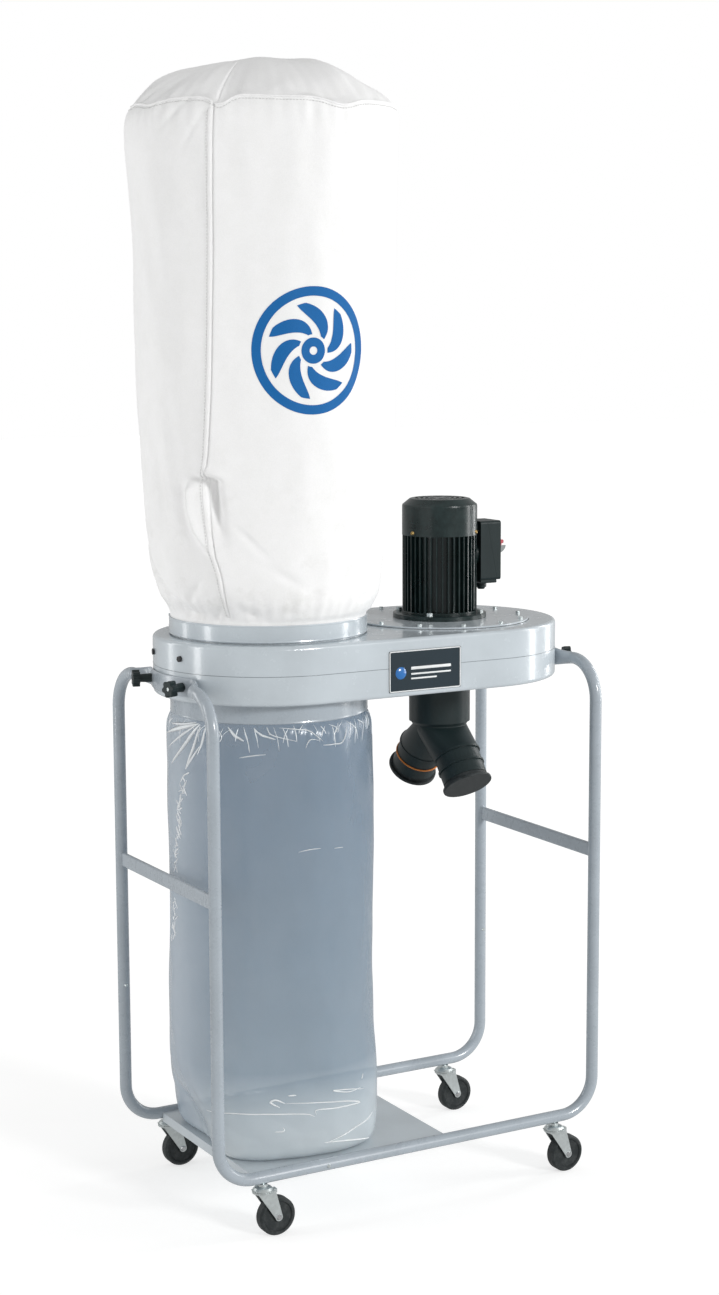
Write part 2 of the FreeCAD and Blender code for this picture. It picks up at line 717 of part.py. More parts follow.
def switch_rocker():
    """Rocker on a pin across the switch, its upper end red."""
    pivot = V(box_x1 + 2, switch_y, switch_z)
    body = cylinder(10, pivot - V(0, 8.5, 0), V(0, 1, 0), 17)
    nose = block(box_x1 + 3, box_x1 + 17, switch_y - 8.5, switch_y + 8.5, switch_z + 1, switch_z + 9)
    nose = nose.makeFillet(2.5, [e for e in nose.Edges if abs(e.Length - 17) < 1e-6])
    return fuse([body, nose])


def cable_gland():
    profile = [(4.5, box_z0 - 22), (7.0, box_z0 - 22), (9.0, box_z0 - 18), (11.5, box_z0 - 17.5),
               (11.5, box_z0 - 7.2), (8.0, box_z0 - 7.2), (8.0, box_z0 + 5), (4.5, box_z0 + 5)]
    return turned(profile, gland_x, 0)


# ---------------------------------------------------------------- inlet

def port_axis(side):
    a = math.radians(wye_angle)
    return V(0, side * math.sin(a), -math.cos(a))


def port_point(side, distance):
    return V(motor_x, 0, wye_z) + port_axis(side) * distance


def inlet_pipe():
    """Black pipe under the housing, with a flange inside it."""
    pipe = ring(pipe_r, pipe_r - pipe_wall, motor_x, 0, pipe_z0, house_z0 - 0.1)
    neck = ring(pipe_r - pipe_wall - 0.1, pipe_r - 5, motor_x, 0, house_z0 - 12, house_z0 + 6)
    step = ring(pipe_r - 1, pipe_r - 5, motor_x, 0, house_z0 - 12, house_z0 - 0.1)
    flange = ring(pipe_r + 6, pipe_r - 5, motor_x, 0, house_z0 + sheet + 0.1, house_z0 + 6)
    return fuse([pipe, neck, step, flange])


def wye_solid(inset):
    """Trunk, two tapering branches and two ports of the Y connector, shrunk by inset for its hollow."""
    trunk_r = 58.0 - inset
    shapes = [post(trunk_r, motor_x, 0, wye_mouth_z, pipe_z0 + (31 if inset else 1))]
    for side in (-1, 1):
        mouth = Part.Wire(Part.makeCircle(trunk_r, V(motor_x, 0, wye_mouth_z), V(0, 0, -1)))
        throat = Part.Wire(Part.makeCircle(port_r + 2 - inset, port_point(side, port_start), port_axis(side)))
        reach = port_end - port_start + (5 if inset else 4)
        shapes.append(Part.makeLoft([mouth, throat], True, True))
        shapes.append(cylinder(port_r - inset, port_point(side, port_start - 4), port_axis(side), reach))
    return shapes


def y_connector():
    outside = wye_solid(0.0)
    socket_r = pipe_r - pipe_wall - 0.2
    outside.append(post(socket_r, motor_x, 0, pipe_z0 - 0.5, pipe_z0 + 30))
    outside.append(Part.makeCone(58.5, socket_r, 6, V(motor_x, 0, pipe_z0 - 6.5), UP))
    for side in (-1, 1):
        outside.append(cylinder(port_r + 3.4, port_point(side, port_start - 2), port_axis(side), 4))
    outside.append(cylinder(port_r + 2.6, port_point(-1, bead_at - 3), port_axis(-1), 5))
    body = one_by_one(outside).cut(one_by_one(wye_solid(port_wall)))
    return body.cut(ring_groove(bead_at, 3.6, port_r - 0.9))


def one_by_one(shapes):
    joined = shapes[0]
    for shape in shapes[1:]:
        joined = joined.fuse(shape)
    return joined


def ring_groove(distance, width, radius):
    start = port_point(1, distance - width / 2)
    return cylinder(port_r + 6, start, port_axis(1), width).cut(cylinder(radius, start, port_axis(1), width))


def seal_ring():
    """Orange ring in the groove of the rear port."""
    return Part.makeTorus(port_r + 0.9, 1.7, port_point(1, bead_at), port_axis(1))


def port_cap(side):
    """Plug with a wide lip that closes a hose port."""
    axis = port_axis(side)
    plug_r = port_r - port_wall - 0.05
    plug = cylinder(plug_r, port_point(side, port_end - 28), axis, 30)
    plug = plug.cut(cylinder(plug_r - 3, port_point(side, port_end - 29), axis, 25))
    neck = cylinder(port_r - 1, port_point(side, port_end + 0.3), axis, 8.5)
    lip = cylinder(port_r + 5.5, port_point(side, port_end + 8), axis, 7)
    lip = lip.makeFillet(2.0, [e for e in lip.Edges if len(e.Vertexes) == 1])
    return fuse([plug, neck, lip])


# ---------------------------------------------------------------- casters

def caster_stem(x, y):
    """Threaded stem, flared race and kingpin of one caster."""
    profile = [(0, 86), (9, 86), (9, 88.5), (6.2, 88.5), (6.2, fork_top + 0.4), (21, fork_top + 0.4),
               (21, fork_top + 3), (17, fork_top + 7), (9.5, fork_top + 9.5), (9, rail_z - tube_r - 0.1),
               (5, rail_z - tube_r - 0.1), (5, rail_z + 8), (0, rail_z + 8)]
    return turned(profile, x, y)


def caster_fork(x, y):
    """Pressed fork: round top, two tapered legs that trail, and a short tab behind."""
    top = ring(22, 6.25, x, y, fork_top - 4, fork_top)
    tab = block(x + 18, x + 29, y - 6, y + 6, fork_top - 8, fork_top)
    parts = [top, tab]
    for side in (-1, 1):
        inside = y + side * (wheel_width / 2 + 1.5)
        outside = inside + side * fork_sheet
        foot = V(x + trail, inside, wheel_r)
        corners = [V(x - 19, inside, fork_top), V(x + 21, inside, fork_top),
                   V(x + trail + 7.5, inside, wheel_r + 3), V(x + trail - 7.5, inside, wheel_r - 2)]
        leg = Part.Face(Part.makePolygon(corners + corners[:1])).extrude(V(0, outside - inside, 0))
        eye = cylinder(8, foot, V(0, side, 0), fork_sheet)
        parts.append(fuse([leg, eye]))
    fork = fuse(parts)
    hub_room = post(9.6, x, y, 80, fork_top - 4)
    return cut(fork, [cylinder(axle_r, V(x + trail, y - 30, wheel_r), V(0, 1, 0), 60), hub_room])


def caster_axle(x, y):
    half = wheel_width / 2 + 1.5 + fork_sheet
    shank = cylinder(axle_r, V(x + trail, y - half, wheel_r), V(0, 1, 0), 2 * half)
    head = round_screw(V(x + trail, y - half, wheel_r), V(0, -1, 0), 6.0, 3.0, 3.9, 0.1)
    nut = hex_bolt(V(x + trail, y + half, wheel_r), V(0, 1, 0), 10.0, 4.5, 3.9, 0.1)
    return fuse([shank, head, nut])


def caster_wheel(x, y):
    """Black wheel: rounded tread, dished sides and a long hub."""
    half = wheel_width / 2
    side_face = [(axle_r + 0.05, half + 1), (9, half + 1), (9, half - 3), (30, half - 3), (32, half),
                 (wheel_r - 4, half), (wheel_r, half - 4)]
    profile = side_face + [(r, -z) for r, z in reversed(side_face)]
    wheel = turned(profile)
    wheel.rotate(V(0, 0, 0), V(1, 0, 0), 90)
    wheel.translate(V(x + trail, y, wheel_r))
    return wheel


# ---------------------------------------------------------------- all nodes

nodes = {
    "front_u_tube": u_tube(-1),
    "rear_u_tube": u_tube(1),
    "left_hoop": hoop(-1),
    "right_hoop": hoop(1),
    "left_cross_bar": cross_bar(-1),
    "right_cross_bar": cross_bar(1),
    "base_plate": base_plate(),
    "frame_screws": frame_screw_shapes(),
    "upper_housing": upper_housing(),
    "lower_housing": lower_housing(),
    "housing_bolts": housing_bolt_shapes(),
    "hoop_studs": hoop_studs(),
    "name_plate": name_plate(),
    "filter_bag": filter_bag(),
    "collector_bag": collector_bag(),
    "upper_band": clamp_band(upper_band_z, upper_latch_angle),
    "upper_band_lever": latch_lever(upper_band_z, upper_latch_angle),
    "lower_band": clamp_band(lower_band_z, lower_latch_angle),
    "lower_band_lever": latch_lever(lower_band_z, lower_latch_angle),
    "motor_plate": motor_plate(),
    "motor_plate_bolts": plate_bolt_shapes(),
    "motor_flange": motor_flange(),
    "motor_flange_bolts": flange_bolt_shapes(),
    "motor_frame": motor_frame(),
    "motor_stator": stator(),
    "motor_end_shield": end_shield(),
    "motor_bearings": bearings(),
    "motor_shaft": motor_shaft(),
    "motor_rotor": rotor_core(),
    "motor_cooling_fan": cooling_fan(),
    "motor_fan_cover": fan_cover(),
    "fan_cover_screws": cowl_screw_shapes(),
    "impeller": impeller(),
    "switch_box": switch_box(),
    "switch_box_cover": switch_cover(),
    "switch_guard": switch_guard(),
    "switch_rocker": switch_rocker(),
    "cable_gland": cable_gland(),
    "inlet_pipe": inlet_pipe(),
    "y_connector": y_connector(),
    "seal_ring": seal_ring(),
    "port_cap_front": port_cap(-1),
    "port_cap_rear": port_cap(1),
}

stems = []
for end, x_sign in (("left", -1), ("right", 1)):
    for depth, side in (("front", -1), ("rear", 1)):
        spot = depth + "_" + end
        x = x_sign * caster_x
        y = side * leg_y
        stems.append(caster_stem(x, y))
        nodes["caster_fork_" + spot] = caster_fork(x, y)
        nodes["caster_axle_" + spot] = caster_axle(x, y)
        nodes["caster_wheel_" + spot] = caster_wheel(x, y)
        nodes["hoop_knob_" + spot] = hoop_knob(x_sign, side)
nodes["caster_stems"] = stems

os.makedirs("parts", exist_ok=True)
for name, shape in nodes.items():
    if isinstance(shape, list):
        shape = Part.makeCompound(shape)
    if not shape.isValid():
        print("invalid:", name)
    box = shape.BoundBox
    print(name, len(shape.Solids), round(shape.Volume / 1000, 2), "cm3",
          [round(v, 1) for v in (box.XMin, box.XMax, box.YMin, box.YMax, box.ZMin, box.ZMax)])
    shape.exportStep("parts/" + name + ".step")
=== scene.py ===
import json
import math

import bpy
import numpy as np
from mathutils import Euler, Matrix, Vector


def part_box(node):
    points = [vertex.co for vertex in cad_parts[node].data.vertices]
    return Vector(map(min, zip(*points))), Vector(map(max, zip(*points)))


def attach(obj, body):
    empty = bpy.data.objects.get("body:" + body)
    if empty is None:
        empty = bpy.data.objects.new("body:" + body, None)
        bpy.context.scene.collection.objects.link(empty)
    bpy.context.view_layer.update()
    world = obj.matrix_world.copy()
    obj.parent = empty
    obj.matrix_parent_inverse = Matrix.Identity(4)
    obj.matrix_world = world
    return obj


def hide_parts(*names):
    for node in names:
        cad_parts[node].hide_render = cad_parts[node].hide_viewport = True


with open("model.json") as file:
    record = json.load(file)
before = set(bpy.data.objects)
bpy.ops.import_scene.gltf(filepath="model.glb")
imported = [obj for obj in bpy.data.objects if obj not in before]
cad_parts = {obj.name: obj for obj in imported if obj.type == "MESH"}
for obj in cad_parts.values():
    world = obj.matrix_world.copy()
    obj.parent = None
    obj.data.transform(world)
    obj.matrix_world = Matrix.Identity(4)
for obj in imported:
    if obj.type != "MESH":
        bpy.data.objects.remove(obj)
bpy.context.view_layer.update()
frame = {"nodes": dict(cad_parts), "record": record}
record = frame["record"]
nodes = frame["nodes"]
print("frame loaded:", len(nodes), "nodes")


# ---- camera and studio ----

camera = {
    "place": (-2.354, -4.155, 1.820),
    "turn": 0.516,  # from looking along +Y towards +X
    "tilt": -0.141,
    "roll": 0.004,
    "lens": 63.87,
}

studio = {
    "floorSize": 60.0,
    "floorColor": (0.50, 0.50, 0.495),
    "floorGlowWithPaintedShadow": (0.635, 0.76),  # floor glow seen by the camera: dimmer beneath the machine as a painted shadow, full far off
    "floorFade": (0.7, 4.5),  # metres over which the painted shadow passes into the full glow
    "floorBounce": 0.42,  # how much of that glow reaches the machine
    "backdrop": 1.0,  # what the camera sees behind the floor
    "fill": [(0.0, 0.80), (0.40, 0.50), (1.0, 0.24)],  # light from all round: (sine of its height, strength)
    "mirrored": 0.46,  # what glossy surfaces reflect between the lamps
    "sunPower": 1.65,
    "sunFrom": (0.33, -1.0, 0.40),
    "sunSpread": 12.0,
    "boxes": [  # softboxes: place, width, height, watts
        ((-3.3, 0.5, 1.7), 0.45, 2.6, 26.0),
        ((-2.4, 2.3, 1.7), 0.5, 2.2, 12.0),
        ((3.1, -1.15, 1.7), 0.5, 2.4, 30.0),
        ((3.2, 0.5, 1.7), 0.5, 2.2, 18.0),
    ],
    "aim": (0.0, 0.0, 1.15),
}


def makeCamera():
    data = bpy.data.cameras.new("camera")
    eye = bpy.data.objects.new("camera", data)
    bpy.context.scene.collection.objects.link(eye)
    eye.location = camera["place"]
    look = Euler((math.pi / 2 + camera["tilt"], 0.0, -camera["turn"])).to_matrix()
    spin = Euler((0.0, 0.0, -camera["roll"])).to_matrix()
    eye.rotation_euler = (look @ spin).to_euler()
    data.lens = camera["lens"]
    data.clip_end = 100.0
    bpy.context.scene.camera = eye


def makeLamp(name, kind, place, watts):
    data = bpy.data.lights.new(name, kind)
    data.energy = watts
    lamp = bpy.data.objects.new(name, data)
    bpy.context.scene.collection.objects.link(lamp)
    lamp.location = place
    away = Vector(place) - Vector(studio["aim"])
    lamp.rotation_euler = away.to_track_quat("Z", "Y").to_euler()
    return data


def makeStudio():
    scene = bpy.context.scene
    scene.view_settings.view_transform = "Standard"
    world = bpy.data.worlds.new("studio")
    scene.world = world
    world.use_nodes = True
    tree = world.node_tree
    sky = tree.nodes["Background"]
    path = tree.nodes.new("ShaderNodeLightPath")
    toward = tree.nodes.new("ShaderNodeTexCoord")
    height = tree.nodes.new("ShaderNodeSeparateXYZ")
    tree.links.new(toward.outputs["Generated"], height.inputs[0])
    fill = ramp(tree, height.outputs["Z"], *studio["fill"])
    shine = tree.nodes.new("ShaderNodeMix")
    tree.links.new(fill, shine.inputs["A"])
    shine.inputs["B"].default_value = studio["mirrored"]
    seen = tree.nodes.new("ShaderNodeMix")
    seen.inputs["B"].default_value = studio["backdrop"]
    tree.links.new(path.outputs["Is Glossy Ray"], shine.inputs["Factor"])
    tree.links.new(shine.outputs["Result"], seen.inputs["A"])
    tree.links.new(path.outputs["Is Camera Ray"], seen.inputs["Factor"])
    tree.links.new(seen.outputs["Result"], sky.inputs["Strength"])
    sky.inputs["Color"].default_value = (1, 1, 1, 1)
    sun = makeLamp("sun", "SUN", Vector(studio["aim"]) + 5 * Vector(studio["sunFrom"]), studio["sunPower"])
    sun.angle = math.radians(studio["sunSpread"])
    for i, (place, width, height, watts) in enumerate(studio["boxes"]):
        box = makeLamp(f"softbox{i}", "AREA", place, watts)
        box.shape = "RECTANGLE"
        box.size = width
        box.size_y = height
    for lamp in [thing for thing in scene.objects if thing.type == "LIGHT"]:
        lamp.visible_camera = False
    half = studio["floorSize"] / 2
    corners = np.array([(-half, -half, 0), (half, -half, 0), (half, half, 0), (-half, half, 0)])
    floor = makeMesh("floor", corners, [(0, 1, 2, 3)], floorWithPaintedShadow(), smooth=False)
    floor.visible_glossy = False  # gloss sees the dim studio instead, so black parts stay black


# ---- meshes ----

def makeMesh(name, points, faces, material, smooth=True):
    mesh = bpy.data.meshes.new(name)
    mesh.from_pydata(np.asarray(points, float).reshape(-1, 3), [], faces)
    mesh.materials.append(material)
    mesh.polygons.foreach_set("use_smooth", [smooth] * len(mesh.polygons))
    mesh.validate()
    mesh.update()
    piece = bpy.data.objects.new(name, mesh)
    bpy.context.scene.collection.objects.link(piece)
    return piece


def gridFaces(rows, cols, wrapRows=False, wrapCols=False, first=0):
    # quads between neighbours of a rows x cols grid, counted row by row
    r = np.arange(rows if wrapRows else rows - 1)
    c = np.arange(cols if wrapCols else cols - 1)
    r, c = np.meshgrid(r, c, indexing="ij")
    a = r * cols + c
    b = r * cols + (c + 1) % cols
    d = ((r + 1) % rows) * cols + c
    e = ((r + 1) % rows) * cols + (c + 1) % cols
    return first + np.stack([a, b, e, d], -1).reshape(-1, 4)


def capFaces(ring, centre):
    # a fan from every pair of neighbours on a ring of vertex numbers to its centre
    return np.stack([ring, np.roll(ring, -1), np.full(len(ring), centre)], -1)


def sweep(path, out, across, profile, closed):
    # point = path + out * profile x + across * profile y, for every profile point at every path point
    p = path[:, None] + out[:, None] * profile[None, :, :1] + across[:, None] * profile[None, :, 1:]
    rows, cols = p.shape[:2]
    faces = gridFaces(rows, cols, wrapRows=closed, wrapCols=True).tolist()
    p = p.reshape(-1, 3)
    if not closed:
        ends = np.stack([p[:cols].mean(0), p[-cols:].mean(0)])
        count = len(p)
        p = np.concatenate([p, ends])
        faces += capFaces(np.arange(cols)[::-1], count).tolist()
        faces += capFaces(np.arange(count - cols, count), count + 1).tolist()
    ahead = np.gradient(path, axis=0)[1:-1]
    if np.sum(np.cross(out, across)[1:-1] * ahead) < 0:  # keeps the faces outward either way round
        faces = [face[::-1] for face in faces]
    return p, faces


def circle(radius, count):
    a = np.linspace(0, 2 * math.pi, count, endpoint=False)
    return radius * np.stack([np.cos(a), np.sin(a)], -1)


def together(parts):
    # several (points, faces) pairs as one
    points, faces, first = [], [], 0
    for p, f in parts:
        points.append(p)
        faces += [[i + first for i in face] for face in f]
        first += len(p)
    return np.concatenate(points), faces


def unit(v):
    return v / np.linalg.norm(v, axis=-1, keepdims=True)


def ripple(angle, height, seed, count, turns, rise):
    # sum of cosine waves, each with a whole number of turns round and up to rise waves per metre up
    draw = np.random.default_rng(seed)
    total = np.zeros(np.broadcast(angle, height).shape)
    for _ in range(count):
        k = draw.integers(turns[0], turns[1] + 1)
        up = draw.uniform(-rise, rise)
        total = total + np.cos(k * angle + 2 * math.pi * up * height + draw.uniform(0, 2 * math.pi))
    return total / math.sqrt(count)


def bump(x, centre, width):
    return np.exp(-(((x - centre) / width) ** 2))


def step(x, low, high):
    t = np.clip((x - low) / (high - low), 0, 1)
    return t * t * (3 - 2 * t)


def smoothCurve(x, knots, values):
    # cubic Hermite curve through the knots, its slopes the averages of the neighbouring chords
    knots, values = np.asarray(knots, float), np.asarray(values, float)
    chord = np.diff(values) / np.diff(knots)
    slope = np.concatenate([chord[:1], (chord[1:] + chord[:-1]) / 2, chord[-1:]])
    i = np.clip(np.searchsorted(knots, x) - 1, 0, len(knots) - 2)
    h = knots[i + 1] - knots[i]
    t = np.clip((x - knots[i]) / h, 0, 1)
    return ((1 + 2 * t) * (1 - t) ** 2 * values[i] + t * (1 - t) ** 2 * h * slope[i]
            + t * t * (3 - 2 * t) * values[i + 1] + t * t * (t - 1) * h * slope[i + 1])


# ---- materials ----

def newMaterial(name):
    material = bpy.data.materials.new(name)
    material.use_nodes = True
    tree = material.node_tree
    return material, tree, tree.nodes["Principled BSDF"]


def addNode(tree, kind, settings=None, **inputs):
    # a node with its settings, and each input a value or the socket that feeds it
    made = tree.nodes.new("ShaderNode" + kind)
    for key, value in (settings or {}).items():
        setattr(made, key, value)
    for key, value in inputs.items():
        socket = made.inputs[key.replace("_", " ")]
        if isinstance(value, bpy.types.NodeSocket):
            tree.links.new(value, socket)
        else:
            socket.default_value = value
    return made


def objectNoise(tree, scale, detail=3.0, roughness=0.55, stretch=(1, 1, 1)):
    coords = addNode(tree, "TexCoord")
    mapping = addNode(tree, "Mapping", Vector=coords.outputs["Object"])
    mapping.inputs["Scale"].default_value = stretch
    noise = addNode(tree, "TexNoise", Vector=mapping.outputs[0], Scale=scale, Detail=detail)
    noise.inputs["Roughness"].default_value = roughness
    return noise.outputs["Fac"]


def ramp(tree, fac, *stops):
    # colour stops are (position, colour); plain numbers make greys
    made = addNode(tree, "ValToRGB", Fac=fac)
    while len(made.color_ramp.elements) < len(stops):
        made.color_ramp.elements.new(0.5)
    for element, (position, color) in zip(made.color_ramp.elements, stops):
        element.position = position
        element.color = (*color, 1) if hasattr(color, "__len__") else (color, color, color, 1)
    return made.outputs["Color"]


def mixColor(tree, fac, a, b, how="MIX"):
    made = addNode(tree, "Mix", {"data_type": "RGBA", "blend_type": how})
    for socket, value in ((made.inputs[0], fac), (made.inputs[6], a), (made.inputs[7], b)):
        if isinstance(value, bpy.types.NodeSocket):
            tree.links.new(value, socket)
        else:
            socket.default_value = (*value, 1) if hasattr(value, "__len__") else value
    return made.outputs[2]


def addBump(tree, shader, height, strength, distance, under=None):
    made = addNode(tree, "Bump", Height=height, Strength=strength, Distance=distance)
    if under is not None:
        tree.links.new(under, made.inputs["Normal"])
    tree.links.new(made.outputs["Normal"], shader.inputs["Normal"])
    return made.outputs["Normal"]


def setPlain(shader, **values):
    for key, value in values.items():
        shader.inputs[key.replace("_", " ")].default_value = value


# the floor's emission, as the camera sees it, is lowered near the machine: a painted shadow round its base
def floorWithPaintedShadow():
    material, tree, shader = newMaterial("studio_floor")
    setPlain(shader, Base_Color=(*studio["floorColor"], 1), Roughness=0.9, Specular_IOR_Level=0.0)
    setPlain(shader, Emission_Color=(1, 1, 1, 1))
    path = addNode(tree, "LightPath")
    glow = addNode(tree, "Mix")
    glow.inputs["A"].default_value = studio["floorBounce"]
    coords = addNode(tree, "TexCoord")
    away = addNode(tree, "VectorMath", {"operation": "LENGTH"}, Vector=coords.outputs["Object"])
    paintedShadowFade = addNode(tree, "MapRange", {"interpolation_type": "SMOOTHSTEP"}, Value=away.outputs["Value"])
    paintedShadowFade.inputs["From Min"].default_value, paintedShadowFade.inputs["From Max"].default_value = studio["floorFade"]
    paintedShadowFade.inputs["To Min"].default_value, paintedShadowFade.inputs["To Max"].default_value = studio["floorGlowWithPaintedShadow"]
    tree.links.new(paintedShadowFade.outputs[0], glow.inputs["B"])
    tree.links.new(path.outputs["Is Camera Ray"], glow.inputs["Factor"])
    tree.links.new(glow.outputs["Result"], shader.inputs["Emission Strength"])
    return material


def enamel(name, color, gloss, flow=0.22):
    # sprayed enamel: slow orange peel, a little dust in the coat, colour a touch uneven
    material, tree, shader = newMaterial(name)
    cloud = objectNoise(tree, 9.0, 4.0)
    dark = tuple(c * 0.93 for c in color)
    light = tuple(min(c * 1.05, 1) for c in color)
    tone = ramp(tree, cloud, (0.3, dark), (0.7, light))
    speck = objectNoise(tree, 1400.0, 2.0)
    dust = ramp(tree, speck, (0.70, 0.0), (0.78, 1.0))
    paint = mixColor(tree, dust, tone, tuple(c * 0.78 for c in color))
    tree.links.new(paint, shader.inputs["Base Color"])
    rub = objectNoise(tree, 38.0, 5.0, 0.7)
    tree.links.new(ramp(tree, rub, (0.35, gloss), (0.75, gloss + 0.05)), shader.inputs["Roughness"])
    peel = objectNoise(tree, 260.0, 2.0)
    addBump(tree, shader, peel, flow, 0.0004)
    setPlain(shader, Coat_Weight=0.6, Coat_Roughness=0.12, Specular_IOR_Level=0.55)
    return material


def castBlack(name, color, gloss, grain=0.5):
    # black enamel over a casting: fine sand texture, worn greyer in patches
    material, tree, shader = newMaterial(name)
    wear = objectNoise(tree, 26.0, 6.0, 0.7)
    tone = ramp(tree, wear, (0.42, color), (0.78, tuple(c * 1.9 + 0.006 for c in color)))
    tree.links.new(tone, shader.inputs["Base Color"])
    tree.links.new(ramp(tree, wear, (0.3, gloss), (0.8, gloss + 0.2)), shader.inputs["Roughness"])
    sand = objectNoise(tree, 700.0, 3.0)
    addBump(tree, shader, sand, grain, 0.0003)
    setPlain(shader, Coat_Weight=0.3, Coat_Roughness=0.2, Specular_IOR_Level=0.35)
    return material


def mouldedPlastic(name, color, gloss, grain=0.3):
    # moulded plastic: pebbled skin and faint flow marks
    material, tree, shader = newMaterial(name)
    flow = objectNoise(tree, 14.0, 3.0, 0.5, (1, 1, 0.35))
    tone = ramp(tree, flow, (0.3, tuple(c * 0.85 for c in color)), (0.75, tuple(c * 1.25 for c in color)))
    tree.links.new(tone, shader.inputs["Base Color"])
    skin = objectNoise(tree, 1100.0, 2.0)
    tree.links.new(ramp(tree, flow, (0.2, gloss), (0.8, gloss + 0.12)), shader.inputs["Roughness"])
    addBump(tree, shader, skin, grain, 0.0002)
    setPlain(shader, Specular_IOR_Level=0.4)
    return material


def rubber(name, color, gloss):
    # rubber: dull, with grey floor dust caught in its pores
    material, tree, shader = newMaterial(name)
    dust = objectNoise(tree, 60.0, 6.0, 0.75)
    tone = ramp(tree, dust, (0.45, color), (0.85, tuple(c + 0.05 for c in color)))
    tree.links.new(tone, shader.inputs["Base Color"])
    tree.links.new(ramp(tree, dust, (0.3, gloss), (0.8, min(gloss + 0.25, 1))), shader.inputs["Roughness"])
    addBump(tree, shader, objectNoise(tree, 900.0, 3.0), 0.35, 0.0003)
    setPlain(shader, Specular_IOR_Level=0.35)
    return material


def metal(name, color, gloss, brushed=(1, 1, 1), spangle=0.0):
    # bare or plated metal: fine brushing, and zinc's faint crystal patches where spangle is set
    material, tree, shader = newMaterial(name)
    shade = objectNoise(tree, 45.0, 4.0, 0.6)
    tone = ramp(tree, shade, (0.3, tuple(c * 0.88 for c in color)), (0.7, color))
    if spangle:
        coords = addNode(tree, "TexCoord")
        cells = addNode(tree, "TexVoronoi", Vector=coords.outputs["Object"], Scale=160.0)
        patch = ramp(tree, cells.outputs["Color"], (0.2, 1.0 - spangle), (0.9, 1.0))
        tone = mixColor(tree, 1.0, tone, patch, "MULTIPLY")
    tree.links.new(tone, shader.inputs["Base Color"])
    grain = objectNoise(tree, 500.0, 3.0, 0.6, brushed)
    tree.links.new(ramp(tree, grain, (0.3, gloss), (0.7, gloss + 0.16)), shader.inputs["Roughness"])
    addBump(tree, shader, grain, 0.15, 0.0002)
    setPlain(shader, Metallic=1.0)
    return material


def needledFelt():
    # white needled felt: matted fibres, soft sheen, faint grey mottling, and grey patches low down that are partly
    # dust stains and partly painted shade where the bag narrows
    material, tree, shader = newMaterial("needled_felt")
    coords = addNode(tree, "TexCoord")
    height = addNode(tree, "SeparateXYZ", Vector=coords.outputs["Object"]).outputs["Z"]
    mottle = objectNoise(tree, 22.0, 6.0, 0.7)
    cloth = ramp(tree, mottle, (0.3, (0.855, 0.855, 0.85)), (0.65, (0.885, 0.885, 0.885)))
    # painted shade and dust stains: grey patches come in towards the bottom of the bag
    low = addNode(tree, "MapRange", Value=height)
    for key, value in (("From Min", 1.24), ("From Max", 1.62), ("To Min", 1.0), ("To Max", 0.0)):
        low.inputs[key].default_value = value
    patch = ramp(tree, objectNoise(tree, 13.0, 5.0, 0.65), (0.55, 0.0), (0.78, 1.0))
    stainAndShade = addNode(tree, "Math", {"operation": "MULTIPLY"})
    tree.links.new(low.outputs[0], stainAndShade.inputs[0])
    tree.links.new(patch, stainAndShade.inputs[1])
    dustyAndShaded = mixColor(tree, stainAndShade.outputs[0], cloth, (0.72, 0.72, 0.705))
    fibre = objectNoise(tree, 900.0, 4.0, 0.7, (1, 1, 0.5))
    tone = mixColor(tree, 1.0, dustyAndShaded, ramp(tree, fibre, (0.3, 0.93), (0.7, 1.0)), "MULTIPLY")
    tree.links.new(tone, shader.inputs["Base Color"])
    tree.links.new(ramp(tree, fibre, (0.3, 0.85), (0.7, 1.0)), shader.inputs["Roughness"])
    soft = addBump(tree, shader, objectNoise(tree, 120.0, 4.0, 0.6), 0.25, 0.0015)
    addBump(tree, shader, fibre, 0.5, 0.0006, soft)
    setPlain(shader, Sheen_Weight=0.25, Sheen_Roughness=0.5, Specular_IOR_Level=0.15)
    return material


def thread(name, color):
    material, tree, shader = newMaterial(name)
    twist = objectNoise(tree, 1600.0, 2.0)
    tree.links.new(ramp(tree, twist, (0.3, tuple(c * 0.8 for c in color)), (0.7, color)),
                   shader.inputs["Base Color"])
    addBump(tree, shader, twist, 0.4, 0.0003)
    setPlain(shader, Roughness=0.7, Sheen_Weight=0.2)
    return material


def printInk(name, color):
    # screen ink soaked into felt: the fibres show through
    material, tree, shader = newMaterial(name)
    fibre = objectNoise(tree, 700.0, 4.0, 0.7)
    tone = ramp(tree, fibre, (0.3, tuple(c * 0.82 for c in color)), (0.7, tuple(min(c * 1.08, 1) for c in color)))
    tree.links.new(tone, shader.inputs["Base Color"])
    addBump(tree, shader, fibre, 0.4, 0.0005)
    setPlain(shader, Roughness=0.6, Specular_IOR_Level=0.25)
    return material


